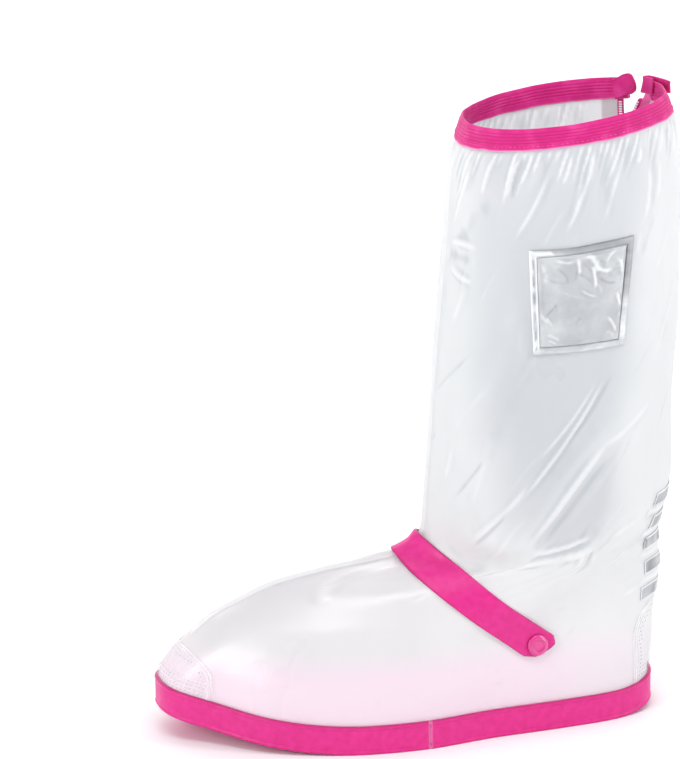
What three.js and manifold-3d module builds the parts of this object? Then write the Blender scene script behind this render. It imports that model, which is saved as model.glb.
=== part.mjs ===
// Knee-high cover of clear film for the left foot: rubber sole, zip on the inner side, elastic rim band,
// instep strap, clear window and silver stripes.
// Millimetres. X runs from the toe (negative) to the heel, Y from the outer side (negative) to the inner
// side and Z up. The origin is on the flat underside of the sole, at mid-length.

import * as THREE from 'three';
import { mergeVertices } from 'three/addons/utils/BufferGeometryUtils.js';
import Module from 'manifold-3d';

const wasm = await Module();
wasm.setup();

// Driving dimensions: foot and sole
const SOLE_LENGTH = 295;
const SOLE_WIDTH = 102;
const SOLE_THICKNESS = 4.5;
const TOE_SPRING = 16;
const TOE_SPRING_LENGTH = 115;
const TOE_SWING = 17;
const HEEL_LIFT = 5;
const HEEL_LIFT_LENGTH = 28;
const RAND_HEIGHT = 17.5;
const RAND_THICKNESS = 2;
const RAND_JOINT_X = 0.6;

// Driving dimensions: film upper
const FILM_THICKNESS = 1.2;
const ANKLE_HEIGHT = 119;
const COVER_HEIGHT = 380;
const RIM_DROP = 15;
const RIM_LEAN = 4.3;
const SHAFT_DEPTH = 150;
const SHAFT_WIDTH = 128;
const SHAFT_CENTRE_X = 89;
const SEAM_FIN = 2.2;
const FOLD_DEPTH = 4;
const GATHER_DEPTH = 1.3;
const GATHER_LENGTH = 42;

// Driving dimensions: rim band and its closure
const BAND_HEIGHT = 13;
const BAND_THICKNESS = 1.2;
const NOTCH_WIDTH = 20;
const TAB_RADIUS = 6;
const TAB_OVERLAP = 8;
const TAB_REACH = 10;
const TAB_RISE = 3;
const CLOSURE_STRAP_WIDTH = 10;
const CLOSURE_STRAP_FIXED = 12;
const CLOSURE_STRAP_FREE = 24;
const CLOSURE_STRAP_SPREAD = 4.5;

// Driving dimensions: zip
const ZIP_BOTTOM = 70;
const ZIP_OPEN_DEPTH = 30;
const TAPE_WIDTH = 14;
const TAPE_THICKNESS = 1;
const SLOT_WIDTH = 8;
const COIL_WIDTH = 2.4;
const COIL_THICKNESS = 1.4;
const SLIDER_LENGTH = 12;
const SLIDER_WIDTH = 8;
const SLIDER_THICKNESS = 1.8;
const BRIDGE_WIDTH = 2.6;
const BRIDGE_THICKNESS = 1.2;
const PULL_LENGTH = 24;
const PULL_THICKNESS = 1.4;
const PULL_BAR = 1.4;
const PULL_SIDE = 1.3;

// Driving dimensions: strap, patches and stripes
const STRAP_WIDTH = 20;
const STRAP_THICKNESS = 1.8;
const STRAP_BELOW_ANKLE = 11;
const STRAP_SNAP_X = 69;
const STRAP_SNAP_HEIGHT = 54.5;
const STRAP_INNER_SNAP_X = 43;
const STRAP_INNER_SNAP_HEIGHT = 76;
const STRAP_END = 7.5;
const STRAP_CHAMFER = 4;
const SNAP_DIAMETER = 13;
const SNAP_HEIGHT = 2.2;
const PATCH_THICKNESS = 0.8;
const TOE_CAP_TOP = 45.5;
const TOE_CAP_REACH = 42;
const HEEL_COUNTER_TOP = 66;
const HEEL_COUNTER_REACH = 38;
const WINDOW_WIDTH = 61.5;
const WINDOW_HEIGHT = 65;
const WINDOW_LEFT_X = 61.5;
const WINDOW_BELOW_RIM = 73.5;
const WINDOW_FRAME_WIDTH = 4;
const STRIPE_PITCH = 16.1;
const STRIPE_HEIGHT = 8.2;
const STRIPE_BOTTOM = 69.5;
const STRIPE_SPANS = [54, 48, 48, 62, 76];
const STRIPE_THICKNESS = 0.6;

// Clearance between neighbouring pieces
const CLEARANCE = 0.3;

// Sides of the cover, as the sign of Y
const OUTER = -1;
const INNER = 1;

// Number of columns of the mesh round each side, two for each gather under the band
const COLUMNS = 24;

// Outline of the sole, a row for each station. along: share of half the length, toe -1, heel 1. outer and
// inner: share of the widest half on that side.
const SOLE_OUTLINE = [
  { along: -1.0, outer: 0.0, inner: 0.0 },
  { along: -0.955, outer: 0.36, inner: 0.4 },
  { along: -0.82, outer: 0.52, inner: 0.78 },
  { along: -0.6, outer: 0.845, inner: 0.97 },
  { along: -0.32, outer: 1.0, inner: 1.0 },
  { along: -0.02, outer: 1.0, inner: 0.915 },
  { along: 0.28, outer: 0.845, inner: 0.84 },
  { along: 0.57, outer: 0.75, inner: 0.8 },
  { along: 0.8, outer: 0.64, inner: 0.73 },
  { along: 0.945, outer: 0.45, inner: 0.5 },
  { along: 1.0, outer: 0.0, inner: 0.0 },
];

// Level sections of the foot. height: share of the ankle's height. front, back and widest (the station of
// the widest place): shares of half the sole's length. outer and inner: shares of half the sole's width.
// squareness: 2 is an ellipse, lower is more pointed. sole: how far the sole's outline still shows.
const FOOT_LEVELS = [
  { height: 0.0, front: -1.0, back: 1.0, widest: -0.3, outer: 1.08, inner: 0.92, squareness: 2.4, sole: 1 },
  { height: 0.15, front: -1.0, back: 1.0, widest: -0.3, outer: 1.08, inner: 0.92, squareness: 2.4, sole: 1 },
  { height: 0.286, front: -0.955, back: 1.02, widest: -0.3, outer: 1.05, inner: 0.92, squareness: 2.3, sole: 0.8 },
  { height: 0.437, front: -0.87, back: 1.03, widest: -0.13, outer: 0.98, inner: 0.9, squareness: 2.1, sole: 0.4 },
  { height: 0.563, front: -0.785, back: 1.045, widest: 0.1, outer: 0.93, inner: 0.88, squareness: 1.9, sole: 0.15 },
  { height: 0.655, front: -0.68, back: 1.06, widest: 0.3, outer: 0.93, inner: 0.9, squareness: 1.7, sole: 0 },
  { height: 0.748, front: -0.54, back: 1.062, widest: 0.48, outer: 0.95, inner: 0.93, squareness: 1.5, sole: 0 },
  { height: 0.815, front: -0.326, back: 1.06, widest: 0.56, outer: 0.97, inner: 0.95, squareness: 1.35, sole: 0 },
  { height: 0.866, front: -0.06, back: 1.057, widest: 0.59, outer: 0.985, inner: 0.965, squareness: 1.35, sole: 0 },
  { height: 0.924, front: 0.037, back: 1.058, widest: 0.59, outer: 1.01, inner: 0.99, squareness: 1.55, sole: 0 },
  { height: 1.0, front: 0.077, back: 1.066, widest: 0.58, outer: 1.045, inner: 1.03, squareness: 1.8, sole: 0 },
];

// Level sections of the shaft. height: share of the way from the ankle to the rim. front, back and widest:
// shares of half the shaft's depth, from its centre. outer and inner: shares of half the shaft's width.
const SHAFT_LEVELS = [
  { height: 0.096, front: -1.005, back: 0.961, widest: -0.02, outer: 0.89, inner: 0.88, squareness: 2.0, sole: 0 },
  { height: 0.287, front: -0.956, back: 0.976, widest: 0.0, outer: 0.965, inner: 0.96, squareness: 2.05, sole: 0 },
  { height: 0.525, front: -0.891, back: 1.021, widest: 0.05, outer: 1.0, inner: 1.0, squareness: 2.1, sole: 0 },
  { height: 0.759, front: -0.823, back: 1.022, widest: 0.08, outer: 0.99, inner: 0.99, squareness: 2.1, sole: 0 },
  { height: 0.885, front: -0.79, back: 0.997, widest: 0.083, outer: 0.985, inner: 0.985, squareness: 2.1, sole: 0 },
  { height: 1.0, front: -0.66, back: 0.89, widest: 0.08, outer: 1.0, inner: 1.0, squareness: 2.05, sole: 0 },
];

// Main folds of the film. from and to: the ends of each fold, around as a share of the way from the front
// seam to the back seam, height as a share of the cover's height. depth: share of the fold depth, negative
// for a hollow. width: half the width, as a share of the shaft's depth.
const FOLDS = [
  { side: OUTER, from: { around: 0.55, height: 0.92 }, to: { around: 0.12, height: 0.42 }, depth: 0.8, width: 0.09 },
  { side: OUTER, from: { around: 0.48, height: 0.84 }, to: { around: 0.18, height: 0.36 }, depth: -0.6, width: 0.08 },
  { side: OUTER, from: { around: 0.8, height: 0.9 }, to: { around: 0.55, height: 0.36 }, depth: 0.6, width: 0.09 },
  { side: OUTER, from: { around: 0.72, height: 0.66 }, to: { around: 0.34, height: 0.34 }, depth: -0.6, width: 0.08 },
  { side: OUTER, from: { around: 0.22, height: 0.9 }, to: { around: 0.05, height: 0.8 }, depth: -0.7, width: 0.06 },
  { side: OUTER, from: { around: 0.3, height: 0.3 }, to: { around: 0.7, height: 0.33 }, depth: -0.7, width: 0.09 },
  { side: OUTER, from: { around: 0.2, height: 0.34 }, to: { around: 0.5, height: 0.26 }, depth: 0.7, width: 0.07 },
  { side: INNER, from: { around: 0.45, height: 0.88 }, to: { around: 0.15, height: 0.45 }, depth: 0.6, width: 0.09 },
  { side: INNER, from: { around: 0.9, height: 0.8 }, to: { around: 0.8, height: 0.45 }, depth: -0.5, width: 0.08 },
  { side: INNER, from: { around: 0.15, height: 0.36 }, to: { around: 0.5, height: 0.3 }, depth: -0.8, width: 0.08 },
  { side: INNER, from: { around: 0.1, height: 0.42 }, to: { around: 0.48, height: 0.37 }, depth: 0.6, width: 0.07 },
];

// Route of the zip on the inner side. height: share of the cover's height. along: distance from the
// shaft's centre, as a share of half the shaft's depth.
const ZIP_ROUTE = [
  { height: 0.17, along: 0.2 },
  { height: 0.26, along: 0.26 },
  { height: 0.36, along: 0.28 },
  { height: 0.48, along: 0.27 },
  { height: 0.62, along: 0.38 },
  { height: 0.8, along: 0.62 },
  { height: 0.92, along: 0.77 },
  { height: 1.0, along: 0.815 },
];

// Colours and finishes
const film = new THREE.MeshStandardMaterial({
  color: 0xe9edf0,
  roughness: 0.22,
  metalness: 0,
  transparent: true,
  opacity: 0.7,
});
const clearPatch = new THREE.MeshStandardMaterial({
  color: 0xf1f3f4,
  roughness: 0.12,
  metalness: 0,
  transparent: true,
  opacity: 0.5,
});
const rubber = new THREE.MeshStandardMaterial({ color: 0xee3c96, roughness: 0.42, metalness: 0 });
const webbing = new THREE.MeshStandardMaterial({ color: 0xe6308c, roughness: 0.62, metalness: 0 });
const glossyCap = new THREE.MeshStandardMaterial({ color: 0xf04a9e, roughness: 0.2, metalness: 0 });
const silver = new THREE.MeshStandardMaterial({ color: 0xbfc3c6, roughness: 0.3, metalness: 0.7 });
const whiteCoil = new THREE.MeshStandardMaterial({ color: 0xf4f4f4, roughness: 0.4, metalness: 0 });
const zincAlloy = new THREE.MeshStandardMaterial({ color: 0xd2d5d8, roughness: 0.25, metalness: 0.9 });

const group = new THREE.Group();

function addPiece(name, geometry, material) {
  const mesh = new THREE.Mesh(geometry, material);
  mesh.name = name;
  group.add(mesh);
  return mesh;
}

// Small mathematics

function mix(a, b, t) {
  return a + (b - a) * t;
}

function clamp01(t) {
  return Math.min(1, Math.max(0, t));
}

function smoothStep(t) {
  const c = clamp01(t);
  return c * c * (3 - 2 * c);
}

function bell(t) {
  return Math.exp(-t * t);
}

// Finds where a rising function passes zero between low and high.
function rootOf(rising, low, high) {
  let a = low;
  let b = high;
  for (let step = 0; step < 32; step += 1) {
    const middle = (a + b) / 2;
    if (rising(middle) < 0) a = middle;
    else b = middle;
  }
  return (a + b) / 2;
}

// Smooth curve through the points of a table that never swings past them.
function curveThrough(rows, column) {
  const x = rows.map((row) => row.height);
  const y = rows.map((row) => row[column]);
  const last = x.length - 1;
  const rise = x.slice(1).map((value, i) => (y[i + 1] - y[i]) / (value - x[i]));
  const slope = y.map((value, i) => {
    if (i === 0) return rise[0];
    if (i === last) return rise[last - 1];
    if (rise[i - 1] * rise[i] <= 0) return 0;
    return (2 * rise[i - 1] * rise[i]) / (rise[i - 1] + rise[i]);
  });
  return (at) => {
    if (at <= x[0]) return y[0];
    if (at >= x[last]) return y[last];
    const i = x.findIndex((value) => value > at) - 1;
    const h = x[i + 1] - x[i];
    const t = (at - x[i]) / h;
    return (
      y[i] * (1 + 2 * t) * (1 - t) ** 2 +
      slope[i] * h * t * (1 - t) ** 2 +
      y[i + 1] * t * t * (3 - 2 * t) +
      slope[i + 1] * h * t * t * (t - 1)
    );
  };
}

// Level sections of the whole cover, in millimetres

const HALF_SOLE = SOLE_LENGTH / 2;
const HALF_SHAFT = SHAFT_DEPTH / 2;
const SHAFT_HEIGHT = COVER_HEIGHT - ANKLE_HEIGHT;

const levels = [
  ...FOOT_LEVELS.map((row) => ({
    ...row,
    height: row.height * ANKLE_HEIGHT,
    front: row.front * HALF_SOLE,
    back: row.back * HALF_SOLE,
    widest: row.widest * HALF_SOLE,
    outer: (row.outer * SOLE_WIDTH) / 2,
    inner: (row.inner * SOLE_WIDTH) / 2,
  })),
  ...SHAFT_LEVELS.map((row) => ({
    ...row,
    height: ANKLE_HEIGHT + row.height * SHAFT_HEIGHT,
    front: SHAFT_CENTRE_X + row.front * HALF_SHAFT,
    back: SHAFT_CENTRE_X + row.back * HALF_SHAFT,
    widest: SHAFT_CENTRE_X + row.widest * HALF_SHAFT,
    outer: (row.outer * SHAFT_WIDTH) / 2,
    inner: (row.inner * SHAFT_WIDTH) / 2,
  })),
];
const levelCurves = Object.fromEntries(
  Object.keys(levels[0])
    .filter((column) => column !== 'height')
    .map((column) => [column, curveThrough(levels, column)]),
);

function levelAt(height) {
  return Object.fromEntries(Object.entries(levelCurves).map(([column, curve]) => [column, curve(height)]));
}

// A line through flat points that can be read at equal steps of its length.
class MeasuredLine {
  constructor(points) {
    this.points = points;
    this.lengths = [0];
    for (let i = 1; i < points.length; i += 1) {
      this.lengths.push(this.lengths[i - 1] + points[i].distanceTo(points[i - 1]));
    }
    this.length = this.lengths[points.length - 1];
  }

  at(share) {
    const target = clamp01(share) * this.length;
    let low = 0;
    let high = this.points.length - 1;
    while (high - low > 1) {
      const middle = (low + high) >> 1;
      if (this.lengths[middle] <= target) low = middle;
      else high = middle;
    }
    const t = (target - this.lengths[low]) / (this.lengths[high] - this.lengths[low]);
    return this.points[low].clone().lerp(this.points[high], t);
  }
}

const LINE_STEPS = 160;

// Half outlines of the sole from toe to heel, each side scaled to run from -1 to 1 and be 1 wide.
function soleHalves() {
  const inside = SOLE_OUTLINE.slice(1, -1);
  const tips = [new THREE.Vector3(-1, 0, 0), new THREE.Vector3(1, 0, 0)];
  const loop = new THREE.CatmullRomCurve3(
    [
      tips[0],
      ...inside.map((row) => new THREE.Vector3(row.along, row.outer, 0)),
      tips[1],
      ...inside.map((row) => new THREE.Vector3(row.along, -row.inner, 0)).reverse(),
    ],
    true,
    'centripetal',
  );
  const heelShare = (inside.length + 1) / (2 * inside.length + 2);
  const half = (from) =>
    Array.from({ length: LINE_STEPS + 1 }, (_, i) => {
      const point = loop.getPoint(mix(from, heelShare, i / LINE_STEPS) % 1);
      return new THREE.Vector2(point.x, Math.abs(point.y));
    });
  return { [OUTER]: half(0), [INNER]: half(1) };
}
const soleHalf = soleHalves();

// Half outline of one level, from the front seam to the back seam, blended from the sole's outline and a
// rounded section.
const halfOutlines = new Map();
function halfOutline(side, height) {
  const key = `${side}/${height.toFixed(3)}`;
  if (halfOutlines.has(key)) return halfOutlines.get(key);
  const level = levelAt(height);
  const width = side === OUTER ? level.outer : level.inner;
  const middle = (level.front + level.back) / 2;
  const reach = (level.back - level.front) / 2;
  const rounded = Array.from({ length: LINE_STEPS + 1 }, (_, i) => {
    const angle = (Math.PI * i) / LINE_STEPS;
    const run = Math.abs(Math.cos(angle)) ** (2 / level.squareness);
    const end = i < LINE_STEPS / 2 ? level.front : level.back;
    return new THREE.Vector2(
      mix(level.widest, end, run),
      width * Math.abs(Math.sin(angle)) ** (2 / level.squareness),
    );
  });
  const sole = soleHalf[side].map((p) => new THREE.Vector2(middle + p.x * reach, p.y * width));
  const roundedLine = new MeasuredLine(rounded);
  const soleLine = new MeasuredLine(sole);
  const blended = Array.from({ length: LINE_STEPS + 1 }, (_, i) =>
    roundedLine.at(i / LINE_STEPS).lerp(soleLine.at(i / LINE_STEPS), level.sole),
  );
  const outline = new MeasuredLine(blended);
  outline.front = level.front;
  outline.back = level.back;
  halfOutlines.set(key, outline);
  return outline;
}

// How far the underside of the sole is lifted at the toe and at the heel.
function soleLift(x) {
  const toe = clamp01((-HALF_SOLE + TOE_SPRING_LENGTH - x) / TOE_SPRING_LENGTH);
  const heel = clamp01((x - HALF_SOLE + HEEL_LIFT_LENGTH) / HEEL_LIFT_LENGTH);
  return TOE_SPRING * toe * toe + HEEL_LIFT * heel * heel;
}

// How far the middle line of the foot swings to the inner side towards the toe.
function toeSwing(x) {
  return TOE_SWING * clamp01(-x / HALF_SOLE) ** 2;
}

// Outer face of the film without its folds. around: share of the way from the front seam to the back seam.
function basePoint(side, around, height) {
  const outline = halfOutline(side, height);
  const flat = outline.at(around);
  const lift = soleLift(flat.x) * (1 - smoothStep((height - RAND_HEIGHT) / (ANKLE_HEIGHT - RAND_HEIGHT)));
  const tilt = smoothStep((height - ANKLE_HEIGHT) / SHAFT_HEIGHT);
  const forward = (outline.back - flat.x) / (outline.back - outline.front);
  const inward = (side * flat.y) / (SHAFT_WIDTH / 2);
  const drop = tilt * (RIM_DROP * forward + RIM_LEAN * inward);
  return new THREE.Vector3(flat.x, side * flat.y + toeSwing(flat.x), height + lift - drop);
}

// Direction out of the film at the seams, in the plane of symmetry.
function seamNormal(end, height) {
  const step = 1;
  const up = basePoint(OUTER, end, height + step).sub(basePoint(OUTER, end, height - step));
  const sign = end === 0 ? -1 : 1;
  return new THREE.Vector3(sign * up.z, 0, -sign * up.x).normalize();
}

// Direction out of the film.
function skinNormal(side, around, height) {
  if (around <= 0) return seamNormal(0, height);
  if (around >= 1) return seamNormal(1, height);
  const turn = 0.004;
  const step = 1;
  const along = basePoint(side, Math.min(1, around + turn), height);
  along.sub(basePoint(side, Math.max(0, around - turn), height));
  const up = basePoint(side, around, height + step).sub(basePoint(side, around, height - step));
  return along.cross(up).multiplyScalar(-side).normalize();
}

function sideLength(side, height) {
  return halfOutline(side, height).length;
}

// Route of the zip, and how the tapes hold the film beside them flat.
const ZIP_OPEN_HEIGHT = COVER_HEIGHT - ZIP_OPEN_DEPTH;
const zipRoute = ZIP_ROUTE.map((row) => ({
  height: row.height * COVER_HEIGHT,
  x: SHAFT_CENTRE_X + row.along * HALF_SHAFT,
}));
const zipX = curveThrough(zipRoute, 'x');

function zipCalm(side, around, height) {
  if (side === OUTER || height < ZIP_BOTTOM) return 1;
  const away = Math.abs(basePoint(side, around, height).x - zipX(height));
  return smoothStep((away - TAPE_WIDTH) / TAPE_WIDTH);
}

// Height of the folds and gathers of the film over its plain surface.
const SHAFT_GIRTH = (Math.PI * (SHAFT_DEPTH + SHAFT_WIDTH)) / 4;
const BAND_BOTTOM = COVER_HEIGHT - BAND_HEIGHT;

function foldRise(side, around, height) {
  let rise = 0;
  for (const fold of FOLDS.filter((row) => row.side === side)) {
    const start = new THREE.Vector2(fold.from.around * SHAFT_GIRTH, fold.from.height * COVER_HEIGHT);
    const run = new THREE.Vector2(fold.to.around * SHAFT_GIRTH, fold.to.height * COVER_HEIGHT).sub(start);
    const away = new THREE.Vector2(around * SHAFT_GIRTH, height).sub(start);
    const share = away.dot(run) / run.lengthSq();
    const across = away.cross(run) / run.length() / (fold.width * SHAFT_DEPTH);
    const fade = smoothStep(share / 0.3) * smoothStep((1 - share) / 0.3);
    rise += fold.depth * FOLD_DEPTH * bell(across) * fade;
  }
  const below = (BAND_BOTTOM - height) / GATHER_LENGTH;
  const gather = Math.cos(Math.PI * COLUMNS * around) * bell(below * 1.3) * smoothStep(4 * below);
  const seamFade = smoothStep(around * 12) * smoothStep((1 - around) * 12);
  return (rise + GATHER_DEPTH * gather) * seamFade * zipCalm(side, around, height);
}

// Point at an offset from the outer face of the film, folds included.
function skin(side, around, height, offset) {
  const rise = foldRise(side, around, height) + offset;
  return basePoint(side, around, height).addScaledVector(skinNormal(side, around, height), rise);
}

// Share of the way round a side at which the film passes a given X.
function aroundAtX(side, height, x) {
  return rootOf((around) => basePoint(side, around, height).x - x, 0, 1);
}

// Share of the way round a side at which the film is a given distance from the middle line.
function aroundAtY(side, height, y) {
  return rootOf((around) => halfOutline(side, height).at(around).y - y, 0, 0.25);
}

// Closed meshes

function geometryFrom(points, triangles) {
  let volume = 0;
  for (const [a, b, c] of triangles) {
    volume += points[a].dot(points[b].clone().cross(points[c]));
  }
  const facing = volume < 0 ? triangles.map(([a, b, c]) => [a, c, b]) : triangles;
  const geometry = new THREE.BufferGeometry();
  geometry.setAttribute('position', new THREE.Float32BufferAttribute(points.flatMap((p) => p.toArray()), 3));
  geometry.setIndex(facing.flat());
  return geometry;
}

// Wall from a grid of pairs of points, grid[row][column] = [front, back]. A looped grid joins its last row
// to its first.
function wallGeometry(grid, looped = false) {
  const rows = grid.length;
  const columns = grid[0].length;
  const points = grid.flat(2);
  const triangles = [];
  const at = (row, column, face) => ((row % rows) * columns + column) * 2 + face;
  const quad = (a, b, c, d) => triangles.push([a, b, c], [a, c, d]);
  const rowSteps = looped ? rows : rows - 1;
  for (let i = 0; i < rowSteps; i += 1) {
    for (let j = 0; j < columns - 1; j += 1) {
      quad(at(i, j, 0), at(i, j + 1, 0), at(i + 1, j + 1, 0), at(i + 1, j, 0));
      quad(at(i, j, 1), at(i + 1, j, 1), at(i + 1, j + 1, 1), at(i, j + 1, 1));
    }
    quad(at(i, 0, 1), at(i, 0, 0), at(i + 1, 0, 0), at(i + 1, 0, 1));
    quad(at(i, columns - 1, 0), at(i, columns - 1, 1), at(i + 1, columns - 1, 1), at(i + 1, columns - 1, 0));
  }
  if (!looped) {
    for (let j = 0; j < columns - 1; j += 1) {
      quad(at(0, j, 1), at(0, j + 1, 1), at(0, j + 1, 0), at(0, j, 0));
      quad(at(rows - 1, j, 0), at(rows - 1, j + 1, 0), at(rows - 1, j + 1, 1), at(rows - 1, j, 1));
    }
  }
  return geometryFrom(points, triangles);
}

function toSolid(geometry) {
  const bare = geometry.clone();
  bare.deleteAttribute('normal');
  bare.deleteAttribute('uv');
  const merged = mergeVertices(bare, 1e-4);
  const mesh = new wasm.Mesh({
    numProp: 3,
    vertProperties: new Float32Array(merged.attributes.position.array),
    triVerts: new Uint32Array(merged.index.array),
  });
  return new wasm.Manifold(mesh);
}

function toGeometry(solid) {
  const mesh = solid.getMesh();
  const geometry = new THREE.BufferGeometry();
  geometry.setAttribute('position', new THREE.BufferAttribute(mesh.vertProperties, mesh.numProp));
  geometry.setIndex(new THREE.BufferAttribute(mesh.triVerts, 1));
  return geometry;
}

// The largest piece of a solid, without crumbs that a cut leaves.
function mainPiece(solid) {
  return solid.decompose().reduce((best, piece) => (piece.volume() > best.volume() ? piece : best));
}

// Upper: rows and columns of its mesh

const FILM_BOTTOM = SOLE_THICKNESS + CLEARANCE;
const FILM_TOP = COVER_HEIGHT - BAND_THICKNESS - CLEARANCE;

const footRows = [0.27, 0.4, 0.51, 0.6, 0.68, 0.75, 0.81, 0.865, 0.93, 1.02]
  .map((share) => share * ANKLE_HEIGHT);
const shaftRows = [0.09, 0.19, 0.32, 0.46, 0.61, 0.75, 0.85, 0.905]
  .map((share) => ANKLE_HEIGHT + share * SHAFT_HEIGHT);
const upperRows = [FILM_BOTTOM, RAND_HEIGHT, ...footRows, ...shaftRows, BAND_BOTTOM, FILM_TOP];

// How far the weld at the front is turned out: not under the toe cap, nor inside the rim band.
function finShare(height) {
  return smoothStep((height - TOE_CAP_TOP - 2) / 10) * smoothStep((BAND_BOTTOM - 4 - height) / 10);
}

// The two columns of pairs at the front seam: edge and foot of the turned-out weld. margin grows them.
function seamPairs(side, height, margin) {
  const turned = finShare(height);
  const out = seamNormal(0, height);
  const aside = new THREE.Vector3(0, side, 0);
  const grow = out.clone().multiplyScalar(margin).addScaledVector(aside, margin * turned);
  const foot = basePoint(side, aroundAtY(side, height, CLEARANCE / 2 + FILM_THICKNESS), height);
  const tip = foot.clone().addScaledVector(out, SEAM_FIN);
  const edge = basePoint(side, 0, height);
  edge.y += (side * CLEARANCE) / 2;
  const onPlane = (point) => new THREE.Vector3(point.x, edge.y, point.z);
  const deep = (point) => point.clone().addScaledVector(out, -FILM_THICKNESS);
  return [
    [edge.clone().lerp(tip, turned).add(grow), deep(edge).lerp(onPlane(tip), turned)],
    [foot.clone().add(grow), deep(foot).lerp(deep(edge), turned)],
  ];
}

function columnShares() {
  return Array.from({ length: COLUMNS }, (_, j) => (j + 1) / COLUMNS);
}

function backPair(side, height) {
  const point = basePoint(side, 1, height);
  point.y = (side * CLEARANCE) / 2;
  return [point, point.clone().addScaledVector(seamNormal(1, height), -FILM_THICKNESS)];
}

function panelRow(side, height) {
  const middle = columnShares()
    .slice(0, -1)
    .map((around) => [skin(side, around, height, 0), skin(side, around, height, -FILM_THICKNESS)]);
  const row = [...seamPairs(side, height, 0), ...middle, backPair(side, height)];
  return side === OUTER ? row : row.reverse();
}

// The upper as one full body, grown by the clearance: what lies on the film is cut with it.
function grownBody() {
  const heights = [-20, ...upperRows, COVER_HEIGHT + 40];
  const rings = heights.map((height) => {
    const half = (side) => [
      ...seamPairs(side, height, CLEARANCE).map(([front]) => front),
      ...columnShares().slice(0, -1).map((around) => skin(side, around, height, CLEARANCE)),
    ];
    const back = basePoint(OUTER, 1, height).addScaledVector(seamNormal(1, height), CLEARANCE);
    return [...half(OUTER), back, ...half(INNER).reverse()];
  });
  const count = rings[0].length;
  const points = rings.flat();
  const triangles = [];
  for (let i = 0; i < rings.length - 1; i += 1) {
    for (let j = 0; j < count; j += 1) {
      const next = (j + 1) % count;
      const [a, b] = [i * count + j, i * count + next];
      triangles.push([a, b, b + count], [a, b + count, a + count]);
    }
  }
  const centreOf = (ring) => {
    const sum = ring.reduce((total, point) => total.add(point), new THREE.Vector3());
    return sum.divideScalar(ring.length);
  };
  const bottom = points.push(centreOf(rings[0])) - 1;
  const top = points.push(centreOf(rings[rings.length - 1])) - 1;
  const lastRing = (rings.length - 1) * count;
  for (let j = 0; j < count; j += 1) {
    const next = (j + 1) % count;
    triangles.push([bottom, next, j], [top, lastRing + j, lastRing + next]);
  }
  return toSolid(geometryFrom(points, triangles));
}
const grown = grownBody();

// Depth to which a piece that lies on the film is first drawn, before it is cut with the grown body
const OVERLAY_DEPTH = 1.2;

function overlayGeometry(geometry) {
  return toGeometry(mainPiece(toSolid(geometry).subtract(grown)));
}

// Pair of points of a piece of a given thickness that lies on the film.
function overlayPair(side, around, height, thickness, lift = 0) {
  return [
    skin(side, around, height, CLEARANCE + thickness + lift),
    skin(side, around, height, lift - OVERLAY_DEPTH),
  ];
}

// The same at a signed distance round from the front seam or the back seam.
function seamOverlayPair(end, distance, height, thickness) {
  const side = distance < 0 ? OUTER : INNER;
  const share = Math.abs(distance) / sideLength(side, height);
  return overlayPair(side, end === 0 ? share : 1 - share, height, thickness);
}

function steps(from, to, count) {
  return Array.from({ length: count + 1 }, (_, i) => mix(from, to, i / count));
}

// Zip: its route, the notch above the slider and lines beside it

function zipAround(height, distance) {
  const step = 2;
  const lean = (zipX(height + step) - zipX(height - step)) / (2 * step);
  const middle = aroundAtX(INNER, height, zipX(height));
  return middle + (distance * Math.hypot(1, lean)) / sideLength(INNER, height);
}

function notchHalf(height) {
  return (NOTCH_WIDTH / 2) * clamp01((height - ZIP_OPEN_HEIGHT) / (COVER_HEIGHT - ZIP_OPEN_HEIGHT));
}

const zipRows = [
  ...upperRows.filter((height) => height > ZIP_BOTTOM + 3 && height < ZIP_OPEN_HEIGHT - 3),
  ZIP_OPEN_HEIGHT,
  ...upperRows.filter((height) => height > ZIP_OPEN_HEIGHT + 3 && height < BAND_BOTTOM - 3),
];
const TAPE_TOP = BAND_BOTTOM - CLEARANCE;

function zipSlotCutter() {
  const heights = [ZIP_BOTTOM + TAPE_WIDTH / 2, ...zipRows.slice(1), BAND_BOTTOM, COVER_HEIGHT + 10];
  const grid = heights.map((height) => {
    const half = notchHalf(height < BAND_BOTTOM ? height : COVER_HEIGHT) + SLOT_WIDTH / 2;
    return steps(-half, half, 4).map((distance) => {
      const around = zipAround(height, distance);
      return [skin(INNER, around, height, 5), skin(INNER, around, height, -6)];
    });
  });
  return toSolid(wallGeometry(grid));
}

function makeUpper() {
  const panel = (side) => wallGeometry(upperRows.map((height) => panelRow(side, height)));
  addPiece('upper_outer_panel', panel(OUTER), film);
  const slotted = mainPiece(toSolid(panel(INNER)).subtract(zipSlotCutter()));
  addPiece('upper_inner_panel', toGeometry(slotted), film);
}

// Sole and rand

// Stations round one side of the sole, which the plate, the rand and the film share.
function soleShares(side) {
  const foot = aroundAtY(side, RAND_HEIGHT, CLEARANCE / 2 + FILM_THICKNESS);
  return [foot, ...columnShares().slice(0, -1), 1 - 0.25 / COLUMNS];
}

function makeSole() {
  const innerShares = soleShares(INNER);
  const grid = soleShares(OUTER).map((outerShare, i) => {
    const level = (height) => [skin(OUTER, outerShare, height, 0), skin(INNER, innerShares[i], height, 0)];
    const [bottomOuter, bottomInner] = level(0);
    const [topOuter, topInner] = level(SOLE_THICKNESS);
    return steps(0, 1, 2).map((share) => [
      bottomOuter.clone().lerp(bottomInner, share),
      topOuter.clone().lerp(topInner, share),
    ]);
  });
  addPiece('outsole', wallGeometry(grid), rubber);
}

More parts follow.
